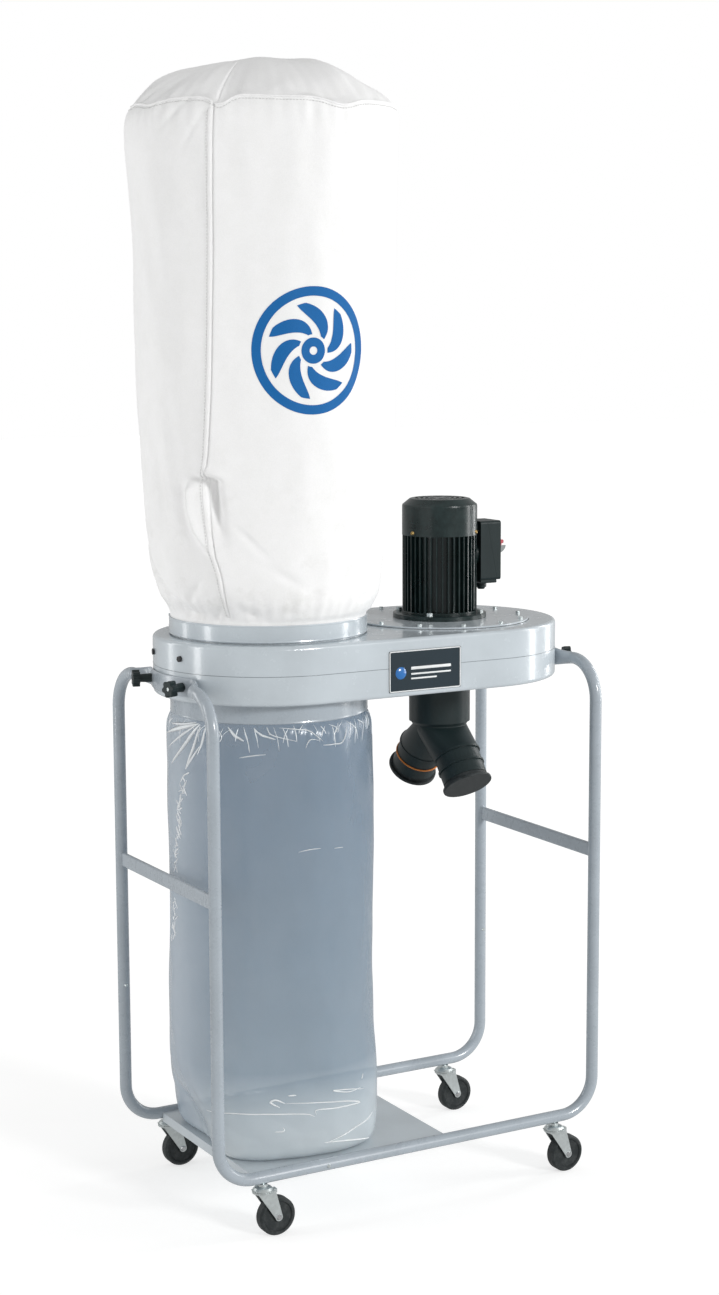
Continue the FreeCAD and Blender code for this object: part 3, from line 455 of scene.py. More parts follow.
def clearFilm(name, color, openness, gloss, doubledAndLitColor):
    # polythene film: smoky where it is stretched over itself, milky near the bottom, and lighter down the side facing
    # (-0.87, 0.49), partly where it lies in two layers and partly painted light for that lit side, with fine creases
    material, tree, shader = newMaterial(name)
    coords = addNode(tree, "TexCoord")
    height = addNode(tree, "SeparateXYZ", Vector=coords.outputs["Object"]).outputs["Z"]
    level = addNode(tree, "MapRange", Value=height)
    level.inputs["From Min"].default_value = 0.12
    level.inputs["From Max"].default_value = 1.03
    haze = objectNoise(tree, 7.0, 5.0, 0.6)
    wide = ramp(tree, level.outputs[0], *openness)
    cloudy = mixColor(tree, 0.35, wide, ramp(tree, haze, (0.3, 0.75), (0.7, 1.0)), "MULTIPLY")
    tree.links.new(cloudy, shader.inputs["Alpha"])
    tone = ramp(tree, level.outputs[0], *color)
    # painted light: the side facing (-0.87, 0.49) is made lighter for its lit look, and partly for the film lying in
    # two layers there
    across = addNode(tree, "VectorMath", {"operation": "DOT_PRODUCT"}, Vector=coords.outputs["Object"])
    across.inputs[1].default_value = (-0.87, 0.49, 0.0)
    edge = addNode(tree, "MapRange", Value=across.outputs["Value"])
    edge.inputs["From Min"].default_value = 0.165 + 0.125
    edge.inputs["From Max"].default_value = 0.165 + 0.205
    doubledAndLit = mixColor(tree, edge.outputs[0], tone, doubledAndLitColor)
    tree.links.new(doubledAndLit, shader.inputs["Base Color"])
    crease = objectNoise(tree, 60.0, 5.0, 0.75, (1, 1, 0.4))
    tree.links.new(ramp(tree, crease, (0.3, gloss), (0.8, gloss + 0.12)), shader.inputs["Roughness"])
    large = addBump(tree, shader, objectNoise(tree, 14.0, 3.0), 0.22, 0.004)
    fine = addBump(tree, shader, objectNoise(tree, 220.0, 3.0), 0.25, 0.0008, large)
    addBump(tree, shader, crease, 0.22, 0.001, fine)
    setPlain(shader, IOR=1.5, Specular_IOR_Level=0.6)
    return material


finishes = {
    "frame_grey": lambda: enamel("frame_grey_enamel", (0.350, 0.395, 0.435), 0.26),
    "housing_grey": lambda: enamel("housing_grey_enamel", (0.50, 0.552, 0.588), 0.24, 0.3),
    "motor_black": lambda: castBlack("motor_black_enamel", (0.004, 0.013, 0.013), 0.24),
    "black_plastic": lambda: mouldedPlastic("black_plastic_skin", (0.010, 0.020, 0.021), 0.34),
    "black_rubber": lambda: rubber("black_wheel_rubber", (0.016, 0.021, 0.022), 0.42),
    "zinc": lambda: metal("zinc_plate", (0.80, 0.86, 0.86), 0.32, (1, 1, 1), 0.12),
    "steel": lambda: metal("bright_steel", (0.66, 0.67, 0.68), 0.22, (1, 1, 8)),
    "black_steel": lambda: castBlack("blackened_steel", (0.012, 0.012, 0.013), 0.30, 0.2),
    "brass": lambda: metal("brass", (0.62, 0.42, 0.16), 0.26),
    "plate_dark": lambda: enamel("plate_teal_black", (0.008, 0.022, 0.032), 0.16, 0.1),
    "switch_grey": lambda: mouldedPlastic("switch_grey_skin", (0.28, 0.30, 0.30), 0.4),
    "switch_red": lambda: mouldedPlastic("switch_red_skin", (0.50, 0.10, 0.12), 0.3),
    "orange_rubber": lambda: rubber("orange_seal_rubber", (0.62, 0.20, 0.04), 0.5),
    "copper": lambda: metal("winding_copper", (0.60, 0.26, 0.12), 0.3),
    "alloy": lambda: metal("cast_alloy", (0.60, 0.61, 0.62), 0.38),
    "white_felt": needledFelt,
    "clear_film": lambda: clearFilm("clear_film", [(0.0, (0.62, 0.68, 0.71)), (0.12, (0.50, 0.565, 0.61)),
                                                   (0.22, (0.20, 0.275, 0.345)), (0.9, (0.115, 0.185, 0.265))],
                                    [(0.0, 0.80), (0.10, 0.78), (0.26, 0.72), (0.9, 0.72)], 0.16, (0.36, 0.43, 0.50)),
}

surfaces = {slot["slot"]: finishes[slot["slot"]]() for slot in record["materials"]}
for row in record["subparts"]:
    held = nodes[row["node"]].data.materials
    held.clear()
    held.append(surfaces[row["material_slot"]])
surfaces["tray"] = enamel("tray_grey_enamel", (0.52, 0.575, 0.61), 0.34)  # a lighter copy of the grey enamel: painted light on the base plate's top
nodes["base_plate"].data.materials[0] = surfaces["tray"]
# painted shade: the lower band takes the darker frame enamel for the shade under the housing's overhang
nodes["lower_band"].data.materials[0] = surfaces["frame_grey"]
print("materials on the CAD nodes:", len(surfaces))

makeCamera()
makeStudio()
print("camera and studio ready")


# ---- filter bag ----

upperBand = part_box("upper_band")
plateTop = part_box("base_plate")[1].z
bagAxis = (upperBand[0].x + upperBand[1].x) / 2
bandTop = upperBand[1].z
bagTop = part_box("filter_bag")[1].z

filterBag = {
    "around": 420,
    "up": 200,
    "crownRings": 44,
    "crowding": 0.72,  # how much closer the columns stand beside the side seam
    "neckRadius": 0.2005,
    "neckDepth": 0.012,  # how far the neck reaches down inside the band
    "seamRadius": 0.262,
    "seamDrop": 0.0895,  # crown height above its seam
    "crownPower": 3.36,
    "rise": [0.0, 0.018, 0.045, 0.095, 0.145, 0.325, 0.555, 0.755, 0.872, 0.962, 0.994, 1.012],
    "lit": [0.2015, 0.213, 0.2265, 0.2335, 0.2385, 0.2505, 0.2575, 0.2625, 0.2655, 0.2675, 0.2665, 0.262],
    "shaded": [0.1995, 0.204, 0.2225, 0.2400, 0.2460, 0.2545, 0.2645, 0.2700, 0.2760, 0.2795, 0.2740, 0.263],
    "shadedSide": math.radians(150.6),
    "wrinkles": [  # soft creases: bearing, height, slope, depth, half length
        (236, 1.395, -0.9, 0.0055, 0.030), (250, 1.330, -0.5, 0.0040, 0.040), (268, 1.300, 0.35, 0.0045, 0.045),
        (286, 1.345, 0.6, 0.0035, 0.040), (300, 1.275, 0.3, 0.0040, 0.035), (205, 1.300, 0.8, 0.0045, 0.030),
        (192, 1.262, -0.6, 0.0045, 0.030), (214, 1.245, 1.1, 0.0040, 0.025), (233, 1.255, -0.4, 0.0040, 0.035),
        (205, 2.215, 0.9, 0.0040, 0.030), (214, 2.180, 1.4, 0.0030, 0.022), (60, 1.330, 0.6, 0.0050, 0.045),
        (100, 1.290, -0.5, 0.0045, 0.045), (20, 1.300, 0.4, 0.0045, 0.045), (340, 1.360, -0.7, 0.0040, 0.040)],
    "seam": [(1.20, 220.6), (1.33, 220.7), (1.37, 218.4), (1.46, 215.1), (1.505, 214.4), (1.535, 215.3),
             (1.565, 216.5), (1.64, 218.1), (1.775, 219.6), (1.97, 221.0), (2.26, 222.4)],
}


def seamAngle(height):
    # the side seam's bearing at a height, in radians
    heights, bearings = zip(*filterBag["seam"])
    return np.radians(smoothCurve(height, heights, bearings))


def turnFrom(angle, middle):
    return (angle - middle + math.pi) % (2 * math.pi) - math.pi


def seamHeight(angle):
    # height of the crown's seam: level, with a few puckered dips
    bearing = np.degrees(angle) % 360
    dips = 0.016 * bump(bearing, 225.5, 4.5) + 0.014 * bump(bearing, 277, 9) + 0.008 * bump(bearing, 186, 9)
    dips = dips + 0.010 * bump(bearing, 20, 12) + 0.012 * bump(bearing, 96, 8)
    return bagTop - filterBag["seamDrop"] + 0.002 - dips + 0.0012 * ripple(angle, 0.0, 5, 6, (5, 16), 0)


def bagSide(angle, height):
    # radius = outline at that height, blended between the shaded and the lit side, plus folds and ripples;
    # the seam pulls in a shallow groove on a soft ridge, and one deep fold hangs beside it
    bag = filterBag
    rise = height - bandTop
    blend = 0.5 + 0.5 * np.cos(turnFrom(angle, bag["shadedSide"]))
    blend = step(blend, 0.15, 0.85)
    radius = smoothCurve(rise, bag["rise"], bag["lit"]) * (1 - blend)
    radius = radius + smoothCurve(rise, bag["rise"], bag["shaded"]) * blend
    free = step(rise, 0.0, 0.09)
    girth = turnFrom(angle, seamAngle(height)) * 0.25  # metres from the seam, along the cloth
    radius = radius + free * (0.0075 * np.exp(-np.abs(girth) / 0.040) - 0.0040 * bump(girth, 0.0030, 0.0026))
    radius = radius + free * 0.0034 * ripple(angle, height, 11, 8, (2, 6), 1.3)
    radius = radius + free * 0.0011 * ripple(angle, height, 12, 14, (9, 26), 5.0)
    gathers = ripple(angle, height, 13, 10, (24, 58), 1.0)
    radius = radius + (0.0009 * bump(rise, 0.030, 0.030) + 0.0010 * bump(rise, 0.99, 0.03)) * gathers
    roof = 1.530 - 0.25 * np.clip(girth - 0.006, 0, 0.06)
    below = 1 - step(height, roof - 0.012, roof)
    hollow = below * step(height, 1.35, 1.50) * bump(girth, 0.016 + 0.05 * (1.50 - height), 0.016)
    lip = bump(height, roof + 0.003, 0.009) * step(girth, -0.006, 0.006) * (1 - step(girth, 0.018, 0.060))
    radius = radius - 0.028 * hollow + 0.0075 * lip
    along = np.clip((1.515 - height) / 0.150, 0, 1)
    ridgeAt = -0.026 + 0.008 * along - 0.010 * np.sin(math.pi * along) + 0.018 * along ** 3
    ridge = bump(girth, ridgeAt, 0.0115) * step(height, 1.350, 1.43) * (1 - step(height, 1.494, 1.516))
    radius = radius + 0.0175 * ridge
    beside = bump(girth, ridgeAt - 0.026, 0.015) * step(height, 1.38, 1.44) * (1 - step(height, 1.49, 1.53))
    radius = radius - 0.0060 * beside
    tuck = bump(height, 1.519 + 0.22 * np.abs(girth + 0.012), 0.0055) * bump(girth, -0.014, 0.018)
    radius = radius - 0.0085 * tuck
    for bearing, top, slope, depth, reach in bag["wrinkles"]:
        away = turnFrom(angle, math.radians(bearing)) * 0.25
        radius = radius - depth * bump(height - top - slope * away, 0, 0.010) * bump(away, 0, reach)
    past = turnFrom(angle, math.radians(158))
    across = height - (1.372 - 0.9 * np.clip(past * 0.24, -0.02, 0.14))
    radius = radius - 0.0085 * bump(across, 0, 0.010) * step(past, -0.40, -0.05) * (1 - step(past, 0.52, 0.94))
    return np.stack([bagAxis + radius * np.cos(angle), radius * np.sin(angle), height + 0 * radius], -1)


def bagNormal(angle, height):
    # unit normal from the two slopes of bagSide
    small = 1e-3
    girth = bagSide(angle + small, height) - bagSide(angle - small, height)
    up = bagSide(angle, height + small) - bagSide(angle, height - small)
    return unit(np.cross(girth, up))


def bagCrown(angle, share):
    # share 1 is the seam and 0 the middle; height falls from the middle as share ** crownPower,
    # with soft folds running in from the seam's dips and small puckers beside it
    bag = filterBag
    rim = bagSide(angle, seamHeight(angle))
    radius = np.hypot(rim[..., 0] - bagAxis, rim[..., 1]) * share
    fall = bagTop - rim[..., 2]
    height = bagTop - fall * share ** bag["crownPower"]
    bearing = np.degrees(angle) % 360
    inner = step(share, 0.35, 0.80) * (1 - 0.9 * step(share, 0.93, 1.0))
    folds = 0.017 * bump(bearing, 226, 10) + 0.012 * bump(bearing, 268, 12) + 0.009 * bump(bearing, 96, 10)
    folds = folds + 0.008 * bump(bearing, 20, 12) + 0.007 * bump(bearing, 186, 8)
    height = height - inner * folds
    height = height + 0.0050 * step(share, 0.05, 0.5) * (1 - step(share, 0.8, 1.0)) * ripple(angle, share, 21, 7, (2, 6), 1)
    puckers = step(share, 0.80, 0.93) * (1 - step(share, 0.96, 1.0))
    height = height + 0.0018 * puckers * ripple(angle, share, 22, 12, (14, 40), 2)
    return np.stack([bagAxis + radius * np.cos(angle), radius * np.sin(angle), height], -1)


def makeFilterBag():
    bag = filterBag
    around, up = bag["around"], bag["up"]
    turn = np.linspace(0, 2 * math.pi, around, endpoint=False)[None, :]
    beside = turn - bag["crowding"] * np.sin(turn)
    topAngle = beside + seamAngle(np.array(bagTop))
    share = np.linspace(0, 1, up)[:, None]
    low = bandTop - bag["neckDepth"]
    height = low + (seamHeight(topAngle) - low) * share
    angle = beside + seamAngle(height)
    side = bagSide(angle, height)
    tucked = step(height, bandTop + 0.004, bandTop + 0.012)[..., None]
    neck = np.stack([bagAxis + bag["neckRadius"] * np.cos(angle),
                     bag["neckRadius"] * np.sin(angle), height], -1)
    side = neck * (1 - tucked) + side * tucked
    faces = gridFaces(up, around, wrapCols=True).tolist()
    panel = makeMesh("filter_bag_side", side, faces, surfaces["white_felt"])
    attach(panel, "frame")
    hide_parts("filter_bag")

    rings = bag["crownRings"]
    share = (1 - np.linspace(0, 1, rings, endpoint=False) ** 1.3)[:, None]
    top = bagCrown(topAngle, share)
    middle = bagCrown(topAngle[:, :1], np.zeros((1, 1))).reshape(1, 3)
    points = np.concatenate([top.reshape(-1, 3), middle])
    faces = gridFaces(rings, around, wrapCols=True).tolist()
    faces += capFaces(np.arange((rings - 1) * around, rings * around), rings * around).tolist()
    crown = makeMesh("filter_bag_crown", points, faces, surfaces["white_felt"])
    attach(crown, "frame")
    return panel, crown


bagStitching = {
    "welt": 0.0024,
    "pitch": 0.0065,
    "length": 0.0042,
    "thread": 0.0006,
    "row": -0.0075,
}


def stitchRow(path, out, material, name):
    # one short arched thread for each pitch of path: five points, six-sided, closed at both ends
    kit = bagStitching
    gaps = np.linalg.norm(np.diff(path, axis=0), axis=1)
    run = np.concatenate([[0], np.cumsum(gaps)])
    starts = np.arange(kit["pitch"] / 2, run[-1] - kit["length"], kit["pitch"])
    t = np.linspace(0, 1, 4)
    at = starts[:, None] + t[None, :] * kit["length"]
    line = np.stack([np.interp(at, run, path[:, i]) for i in range(3)], -1)
    up = unit(np.stack([np.interp(at, run, out[:, i]) for i in range(3)], -1))
    arch = (np.sin(math.pi * t) * 0.0007)[None, :, None]
    line = line + up * arch
    ahead = unit(np.gradient(line, axis=1))
    beside = unit(np.cross(ahead, up))
    ring = circle(kit["thread"], 5)
    p = line[:, :, None] + up[:, :, None] * ring[:, :1] + beside[:, :, None] * ring[:, 1:]
    count, rows, cols = p.shape[:3]
    one = gridFaces(rows, cols, wrapCols=True)
    first = np.arange(count)[:, None, None] * rows * cols
    faces = (one[None] + first).reshape(-1, 4).tolist()
    ends = np.arange(count)[:, None] * rows * cols
    faces += (ends + np.arange(cols)[::-1]).tolist()
    faces += (ends + (rows - 1) * cols + np.arange(cols)).tolist()
    return makeMesh(name, p, faces, material)


def makeSeams(panel):
    kit = bagStitching
    white = thread("white_thread", (0.74, 0.74, 0.73))
    angle = np.linspace(0, 2 * math.pi, 480, endpoint=False)
    height = seamHeight(angle)
    rim = bagSide(angle, height)
    out = bagNormal(angle, height)
    ahead = unit(np.roll(rim, -1, 0) - np.roll(rim, 1, 0))
    across = unit(np.cross(ahead, out))
    rib = circle(kit["welt"], 8) * np.array([0.8, 1.0])
    points, faces = sweep(rim, out, across, rib, True)
    welt = makeMesh("filter_bag_crown_welt", points, faces, surfaces["white_felt"])

    below = bagSide(angle, height - 0.007)
    belowOut = bagNormal(angle, height - 0.007)
    rows = [stitchRow(np.concatenate([below, below[:1]]) + 0.0004 * np.concatenate([belowOut, belowOut[:1]]),
                      np.concatenate([belowOut, belowOut[:1]]), white, "filter_bag_crown_stitches")]
    top = float(seamHeight(np.array(math.radians(222.4)))) - 0.012
    height = np.linspace(bandTop + 0.016, top, 420)
    bearing = seamAngle(height) + kit["row"] / 0.255
    path = bagSide(bearing, height)
    out = bagNormal(bearing, height)
    rows.append(stitchRow(path + 0.0004 * out, out, white, "filter_bag_seam_stitches"))
    bearing = seamAngle(height) - 0.0025 / 0.255
    path = bagSide(bearing, height)
    out = bagNormal(bearing, height)
    ahead = unit(np.gradient(path, axis=0))
    fold = circle(1.0, 8) * np.array([0.0007, 0.0030])
    points, faces = sweep(path + 0.0001 * out, out, unit(np.cross(out, ahead)), fold, False)
    lap = makeMesh("filter_bag_side_seam", points, faces, surfaces["white_felt"])
    for piece in (welt, lap, *rows):
        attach(piece, "frame")
    return [welt, lap, *rows]


# ---- printed badge on the bag ----

badge = {
    "bearing": math.radians(263.4),
    "height": 1.765,
    "outer": 0.122,
    "band": 0.018,
    "hub": 0.025,
    "blades": 7,
    "bladeReach": 0.092,
    "sweep": 0.95,
    "lift": 0.0006,
    "blue": (0.004, 0.125, 0.375),
}


def onBag(x, z):
    # a flat print laid on the cloth: x metres round and z metres up from the badge's middle
    bearing = badge["bearing"] + x / 0.262
    height = badge["height"] + z
    return bagSide(bearing, height) + badge["lift"] * bagNormal(bearing, height)


def makeBadge():
    # a ring, a hub and swept blades, each a polar grid: radius by turn
    ink = printInk("badge_blue_ink", badge["blue"])
    turn = np.linspace(0, 2 * math.pi, 96, endpoint=False)
    parts = []
    for inner, outer in ((badge["outer"] - badge["band"], badge["outer"]), (0.008, badge["hub"])):
        reach = np.linspace(inner, outer, 4)[:, None]
        parts.append((onBag(reach * np.cos(turn), reach * np.sin(turn)).reshape(-1, 3),
                      gridFaces(4, 96, wrapCols=True)[:, ::-1].tolist()))
    reach = np.linspace(badge["hub"] + 0.006, badge["bladeReach"], 20)[:, None]
    side = np.linspace(-0.5, 0.5, 6)[None, :]
    along = (reach - reach[0]) / (reach[-1] - reach[0])
    wide = 0.62 * np.sin(math.pi * (0.12 + 0.80 * along)) ** 0.8
    for i in range(badge["blades"]):
        bearing = 2 * math.pi * i / badge["blades"] + badge["sweep"] * along + side * wide
        parts.append((onBag(reach * np.cos(bearing), reach * np.sin(bearing)).reshape(-1, 3),
                      gridFaces(20, 6)[:, ::-1].tolist()))
    points, faces = together(parts)
    piece = makeMesh("filter_bag_badge", points, faces, ink)
    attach(piece, "frame")
    return piece


# ---- collector bag ----

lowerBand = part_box("lower_band")

wasteBag = {
    "around": 320,
    "up": 230,
    "bottomRings": 26,
    "squareness": 1.5,  # added to the 2 of a circle
    "squareTo": 0.15,
    "roundFrom": 0.38,
    "cornerAt": math.radians(307),
    "drawnIn": 0.042,
    "top": lowerBand[1].z - 0.006,
    "floor": plateTop + 0.0012,
    "outline": [(1.064, 0.2000), (1.034, 0.2002), (1.0265, 0.2035), (1.012, 0.2085), (0.985, 0.2110),
                (0.92, 0.2115), (0.60, 0.2120), (0.32, 0.2122), (0.22, 0.2110), (0.165, 0.2080),
                (0.138, 0.2010), (0.1295, 0.191)],
}

# raised pleats where the film is pinched: (bearing, height) from end to end, width, height
filmPleats = [
    ([(200.3, 1.026), (190, 0.985), (174.4, 0.934)], 0.0105, 0.0040),
    ([(201.0, 1.022), (196, 0.975), (189.5, 0.930)], 0.0085, 0.0036),
    ([(201.4, 0.983), (195, 0.955), (189.5, 0.930)], 0.0060, 0.0030),
    ([(199.0, 1.026), (184, 1.012), (163, 0.990)], 0.0110, 0.0038),
    ([(197.0, 1.028), (185, 1.020), (170, 1.014)], 0.0070, 0.0030),
    ([(198.0, 1.024), (186, 0.998), (168, 0.962)], 0.0065, 0.0028),
    ([(205.0, 1.026), (204, 1.000), (199.5, 0.965)], 0.0060, 0.0026),
    ([(219.0, 1.026), (224, 1.010), (229, 1.001)], 0.0060, 0.0024),
    ([(234.0, 1.026), (238, 1.014), (246, 1.004)], 0.0050, 0.0024),
    ([(213.7, 1.020), (216.0, 1.005), (213.7, 0.991)], 0.0026, 0.0018),
    ([(226.3, 0.967), (233, 0.971), (240.6, 0.974)], 0.0030, 0.0016),
    ([(241.4, 1.028), (244, 1.013), (257.2, 0.999)], 0.0030, 0.0022),
    ([(248.0, 1.026), (258, 1.022), (265.1, 1.017), (272.6, 0.995)], 0.0034, 0.0024),
    ([(272.6, 0.987), (280, 0.986), (286.4, 0.988), (290.7, 1.014)], 0.0036, 0.0024),
    ([(262.4, 0.984), (265.0, 1.000), (270, 0.998)], 0.0026, 0.0018),
    ([(292.0, 1.026), (298, 1.010), (301, 0.985)], 0.0026, 0.0018),
    ([(278.0, 1.026), (283, 1.017), (281, 1.006)], 0.0024, 0.0016),
    ([(258.1, 0.7746), (265, 0.778), (270.8, 0.7782)], 0.0022, 0.0012),
    ([(280.0, 0.7735), (286.7, 0.7716)], 0.0018, 0.0010),
    ([(202.2, 0.229), (217.5, 0.237), (229.2, 0.2377), (247.8, 0.2333), (261.6, 0.2284), (267.1, 0.2208)],
     0.0036, 0.0022),
    ([(268.0, 0.224), (268.5, 0.2335), (281, 0.232), (295.0, 0.2325), (285, 0.243), (268, 0.250), (249.5, 0.2555)],
     0.0040, 0.0026),
    ([(249.5, 0.2555), (244.4, 0.2642), (241.5, 0.2595), (246.5, 0.2479)], 0.0052, 0.0022),
    ([(296.5, 0.262), (288, 0.2605), (277.9, 0.2707), (288, 0.266), (299, 0.257)], 0.0034, 0.0020),
    ([(251.2, 0.2712), (256, 0.271)], 0.0040, 0.0012),
    ([(243.6, 0.1967), (248.6, 0.1960), (248.6, 0.2042)], 0.0036, 0.0018),
    ([(273.9, 0.1602), (283, 0.158), (295, 0.151), (307.5, 0.1408)], 0.0044, 0.0026),
    ([(308.5, 0.196), (292, 0.178), (275.0, 0.158)], 0.0032, 0.0018),
    ([(299.6, 0.2882), (298.0, 0.278)], 0.0026, 0.0014),
]


def crinkleStrip():
    # a zigzag of short pleats down one side, where the flat-packed film was folded
    draw = np.random.default_rng(41)
    made = []
    for top in np.concatenate([np.arange(0.925, 0.720, -0.0042), np.arange(0.655, 0.575, -0.0060)]):
        middle = 173.0 + 15.5 * max((top - 0.585) / 0.345, 0.0) ** 1.2
        left = middle + draw.uniform(-4.6, 1.0)
        right = left + draw.uniform(1.2, 4.6)
        drop = draw.uniform(0.004, 0.022)
        ends = [(left, top), (right, top - drop)] if draw.random() < 0.6 else [(right, top), (left, top - drop)]
        made.append((ends, draw.uniform(0.0024, 0.0052), draw.uniform(0.0010, 0.0024)))
    return made


def neckCreases():
    # short slanting creases hanging from the band all the way round
    draw = np.random.default_rng(43)
    made = []
    for start in np.arange(0, 360, 4.6):
        bearing = start + draw.uniform(-2.0, 2.0)
        top = 1.029 - draw.uniform(0, 0.006)
        reach = draw.uniform(0.012, 0.050)
        lean = draw.uniform(-6.0, 6.0)
        ends = [(bearing, top), (bearing + 0.7 * lean, top - 0.5 * reach), (bearing + lean, top - reach)]
        made.append((ends, draw.uniform(0.0014, 0.0032), draw.uniform(0.0006, 0.0014)))
    return made


def filmSide(angle, height):
    # radius = outline at that height; towards the bottom the round turns into a superellipse with four
    # soft corners, and the side that hangs past the base plate is drawn in over its edge;
    # then slow waves, pleats at the neck and creases at the base
    bag = wasteBag
    heights, radii = zip(*bag["outline"][::-1])
    radius = smoothCurve(height, heights, radii)
    low = 1 - step(height, bag["squareTo"], bag["roundFrom"])
    power = 2 + bag["squareness"] * low
    turned = angle - bag["cornerAt"] - math.pi / 4
    square = (np.abs(np.cos(turned)) ** power + np.abs(np.sin(turned)) ** power) ** (-1 / power)
    radius = radius * square * (1 - 0.055 * low)
    past = bump(turnFrom(angle, math.pi), 0, 0.75) * (1 - step(height, 0.13, 0.31))
    radius = radius - bag["drawnIn"] * past
    free = step(1.03 - height, 0.0, 0.06)
    radius = radius + free * 0.0016 * ripple(angle, height, 31, 9, (2, 7), 2.2)
    radius = radius + free * 0.0006 * ripple(angle, height, 32, 16, (8, 22), 9.0)
    neck = bump(height, 1.008, 0.022)
    radius = radius + neck * 0.0016 * np.abs(ripple(angle, height, 33, 10, (18, 44), 6.0))
    base = bump(height, 0.20, 0.06)
    radius = radius + base * 0.0018 * (np.abs(ripple(angle, height, 34, 10, (4, 14), 14.0)) - 0.5)
    return np.stack([bagAxis + radius * np.cos(angle), radius * np.sin(angle), height + 0 * radius], -1)


def filmNormal(angle, height):
    small = 1e-3
    girth = filmSide(angle + small, height) - filmSide(angle - small, height)
    up = filmSide(angle, height + small) - filmSide(angle, height - small)
    return unit(np.cross(girth, up))


def makeWasteBag():
    bag = wasteBag
    around, up = bag["around"], bag["up"]
    angle = np.linspace(0, 2 * math.pi, around, endpoint=False)[None, :]
    height = np.linspace(bag["outline"][-1][0], bag["top"], up)[:, None]
    side = filmSide(angle, height)
    rim = side[0]
    share = np.linspace(0, 1, bag["bottomRings"] + 1)[1:-1, None, None]
    middle = np.array([bagAxis, 0, bag["floor"]])
    base = middle + (rim - middle) * share ** 0.8
    spread = share[..., 0]
    base[..., 2] = bag["floor"] + (rim[:, 2] - bag["floor"]) * spread ** 6
    crush = ripple(angle, spread, 35, 10, (2, 9), 3.0)
    base[..., 2] += 0.0010 * np.abs(crush) * (spread * (1 - spread) * 4)
    points = np.concatenate([middle[None], base.reshape(-1, 3), side.reshape(-1, 3)])
    rows = len(points[1:]) // around
    faces = gridFaces(rows, around, wrapCols=True, first=1).tolist()
    faces += capFaces(1 + np.arange(around)[::-1], 0).tolist()
    film = makeMesh("collector_bag_film", points, faces, surfaces["clear_film"])
    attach(film, "frame")
    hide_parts("collector_bag")
    return film


def makePleats():
    # each pleat: a low ridge, triangular in section, tapering to both ends, lying on the film
    parts = []
    for ends, wide, tall in filmPleats + crinkleStrip() + neckCreases():
        knots = np.array(ends)
        at = np.linspace(0, len(knots) - 1, 12 * len(knots))
        bearing = np.radians(smoothCurve(at, np.arange(len(knots)), knots[:, 0]))
        height = smoothCurve(at, np.arange(len(knots)), knots[:, 1])
        path = filmSide(bearing, height)
        out = filmNormal(bearing, height)
        ahead = unit(np.gradient(path, axis=0))
        across = unit(np.cross(ahead, out))
        taper = np.sin(math.pi * np.linspace(0.03, 0.97, len(at))) ** 0.6
        section = np.array([(-0.0002, -0.5 * wide), (0.45 * tall, -0.16 * wide), (tall, 0.0),
                            (0.45 * tall, 0.16 * wide), (-0.0002, 0.5 * wide), (-0.0006, 0.0)])
        p = (path[:, None] + out[:, None] * section[None, :, :1] * taper[:, None, None]
             + across[:, None] * section[None, :, 1:] * taper[:, None, None])
        rows, cols = p.shape[:2]
        count = rows * cols
        faces = gridFaces(rows, cols, wrapCols=True).tolist()
        p = np.concatenate([p.reshape(-1, 3), p[:1].mean(1), p[-1:].mean(1)])
        faces += capFaces(np.arange(cols)[::-1], count).tolist()
        faces += capFaces(np.arange(count - cols, count), count + 1).tolist()
        parts.append((p, faces))
    points, faces = together(parts)
    # painted highlight: the pleats are near white and nearly opaque, partly as folded film and partly standing in for
    # the light their creases catch
    material = clearFilm("film_pleats_painted_highlights", [(0.0, (0.92, 0.95, 0.96)), (1.0, (0.90, 0.94, 0.96))],
                         [(0.0, 0.92), (1.0, 0.92)], 0.08, (0.92, 0.95, 0.97))
    piece = makeMesh("collector_bag_pleats", points, faces, material)
    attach(piece, "frame")
    return piece


# ---- small steel and trim details ----

trim = {
    "sealant": 0.0007,
    "gasket": 0.0010,
    "weld": 0.0022,
    "plateBorder": 0.0012,
}


def makeSealant():
    # a bead of sealant round the housing's joint: a stadium path, two half circles and two straights
    low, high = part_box("upper_housing")
    radius = (high.y - low.y) / 2
    end = high.x - radius
    joint = low.z
    half = np.linspace(-math.pi / 2, math.pi / 2, 90)
    straight = np.linspace(-1, 1, 40)[1:-1]
    out = np.concatenate([
        np.stack([np.cos(half), np.sin(half), 0 * half], -1),
        np.tile([0.0, 1.0, 0.0], (len(straight), 1)),
        np.stack([-np.cos(half), -np.sin(half), 0 * half], -1),
        np.tile([0.0, -1.0, 0.0], (len(straight), 1)),
    ])
    centre = np.concatenate([np.full(90, end), -end * straight, np.full(90, -end), end * straight])
    path = out * (radius - 0.0001)
    path[:, 0] += centre
    path[:, 2] = joint
    up = np.tile([0.0, 0.0, 1.0], (len(path), 1))
    points, faces = sweep(path, out, up, circle(trim["sealant"], 6) * np.array([0.6, 1.0]), True)
    piece = makeMesh("housing_sealant", points, faces, enamel("sealant_grey", (0.20, 0.23, 0.25), 0.5))
    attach(piece, "frame")


def ringPath(x, y, radius, z, count):
    a = np.linspace(0, 2 * math.pi, count, endpoint=False)
    out = np.stack([np.cos(a), np.sin(a), 0 * a], -1)
    path = out * radius + np.array([x, y, z])
    return path, out, np.tile([0.0, 0.0, 1.0], (count, 1))


def makeGasket():
    # a foam gasket squeezed out under the motor plate's rim
    low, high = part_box("motor_plate")
    path, out, up = ringPath((low.x + high.x) / 2, 0, (high.x - low.x) / 2 - 0.0002, low.z, 200)
    points, faces = sweep(path, out, up, circle(trim["gasket"], 8) * np.array([1.0, 0.7]), True)
    piece = makeMesh("motor_plate_gasket", points, faces, rubber("gasket_foam", (0.02, 0.02, 0.02), 0.8))
    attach(piece, "frame")


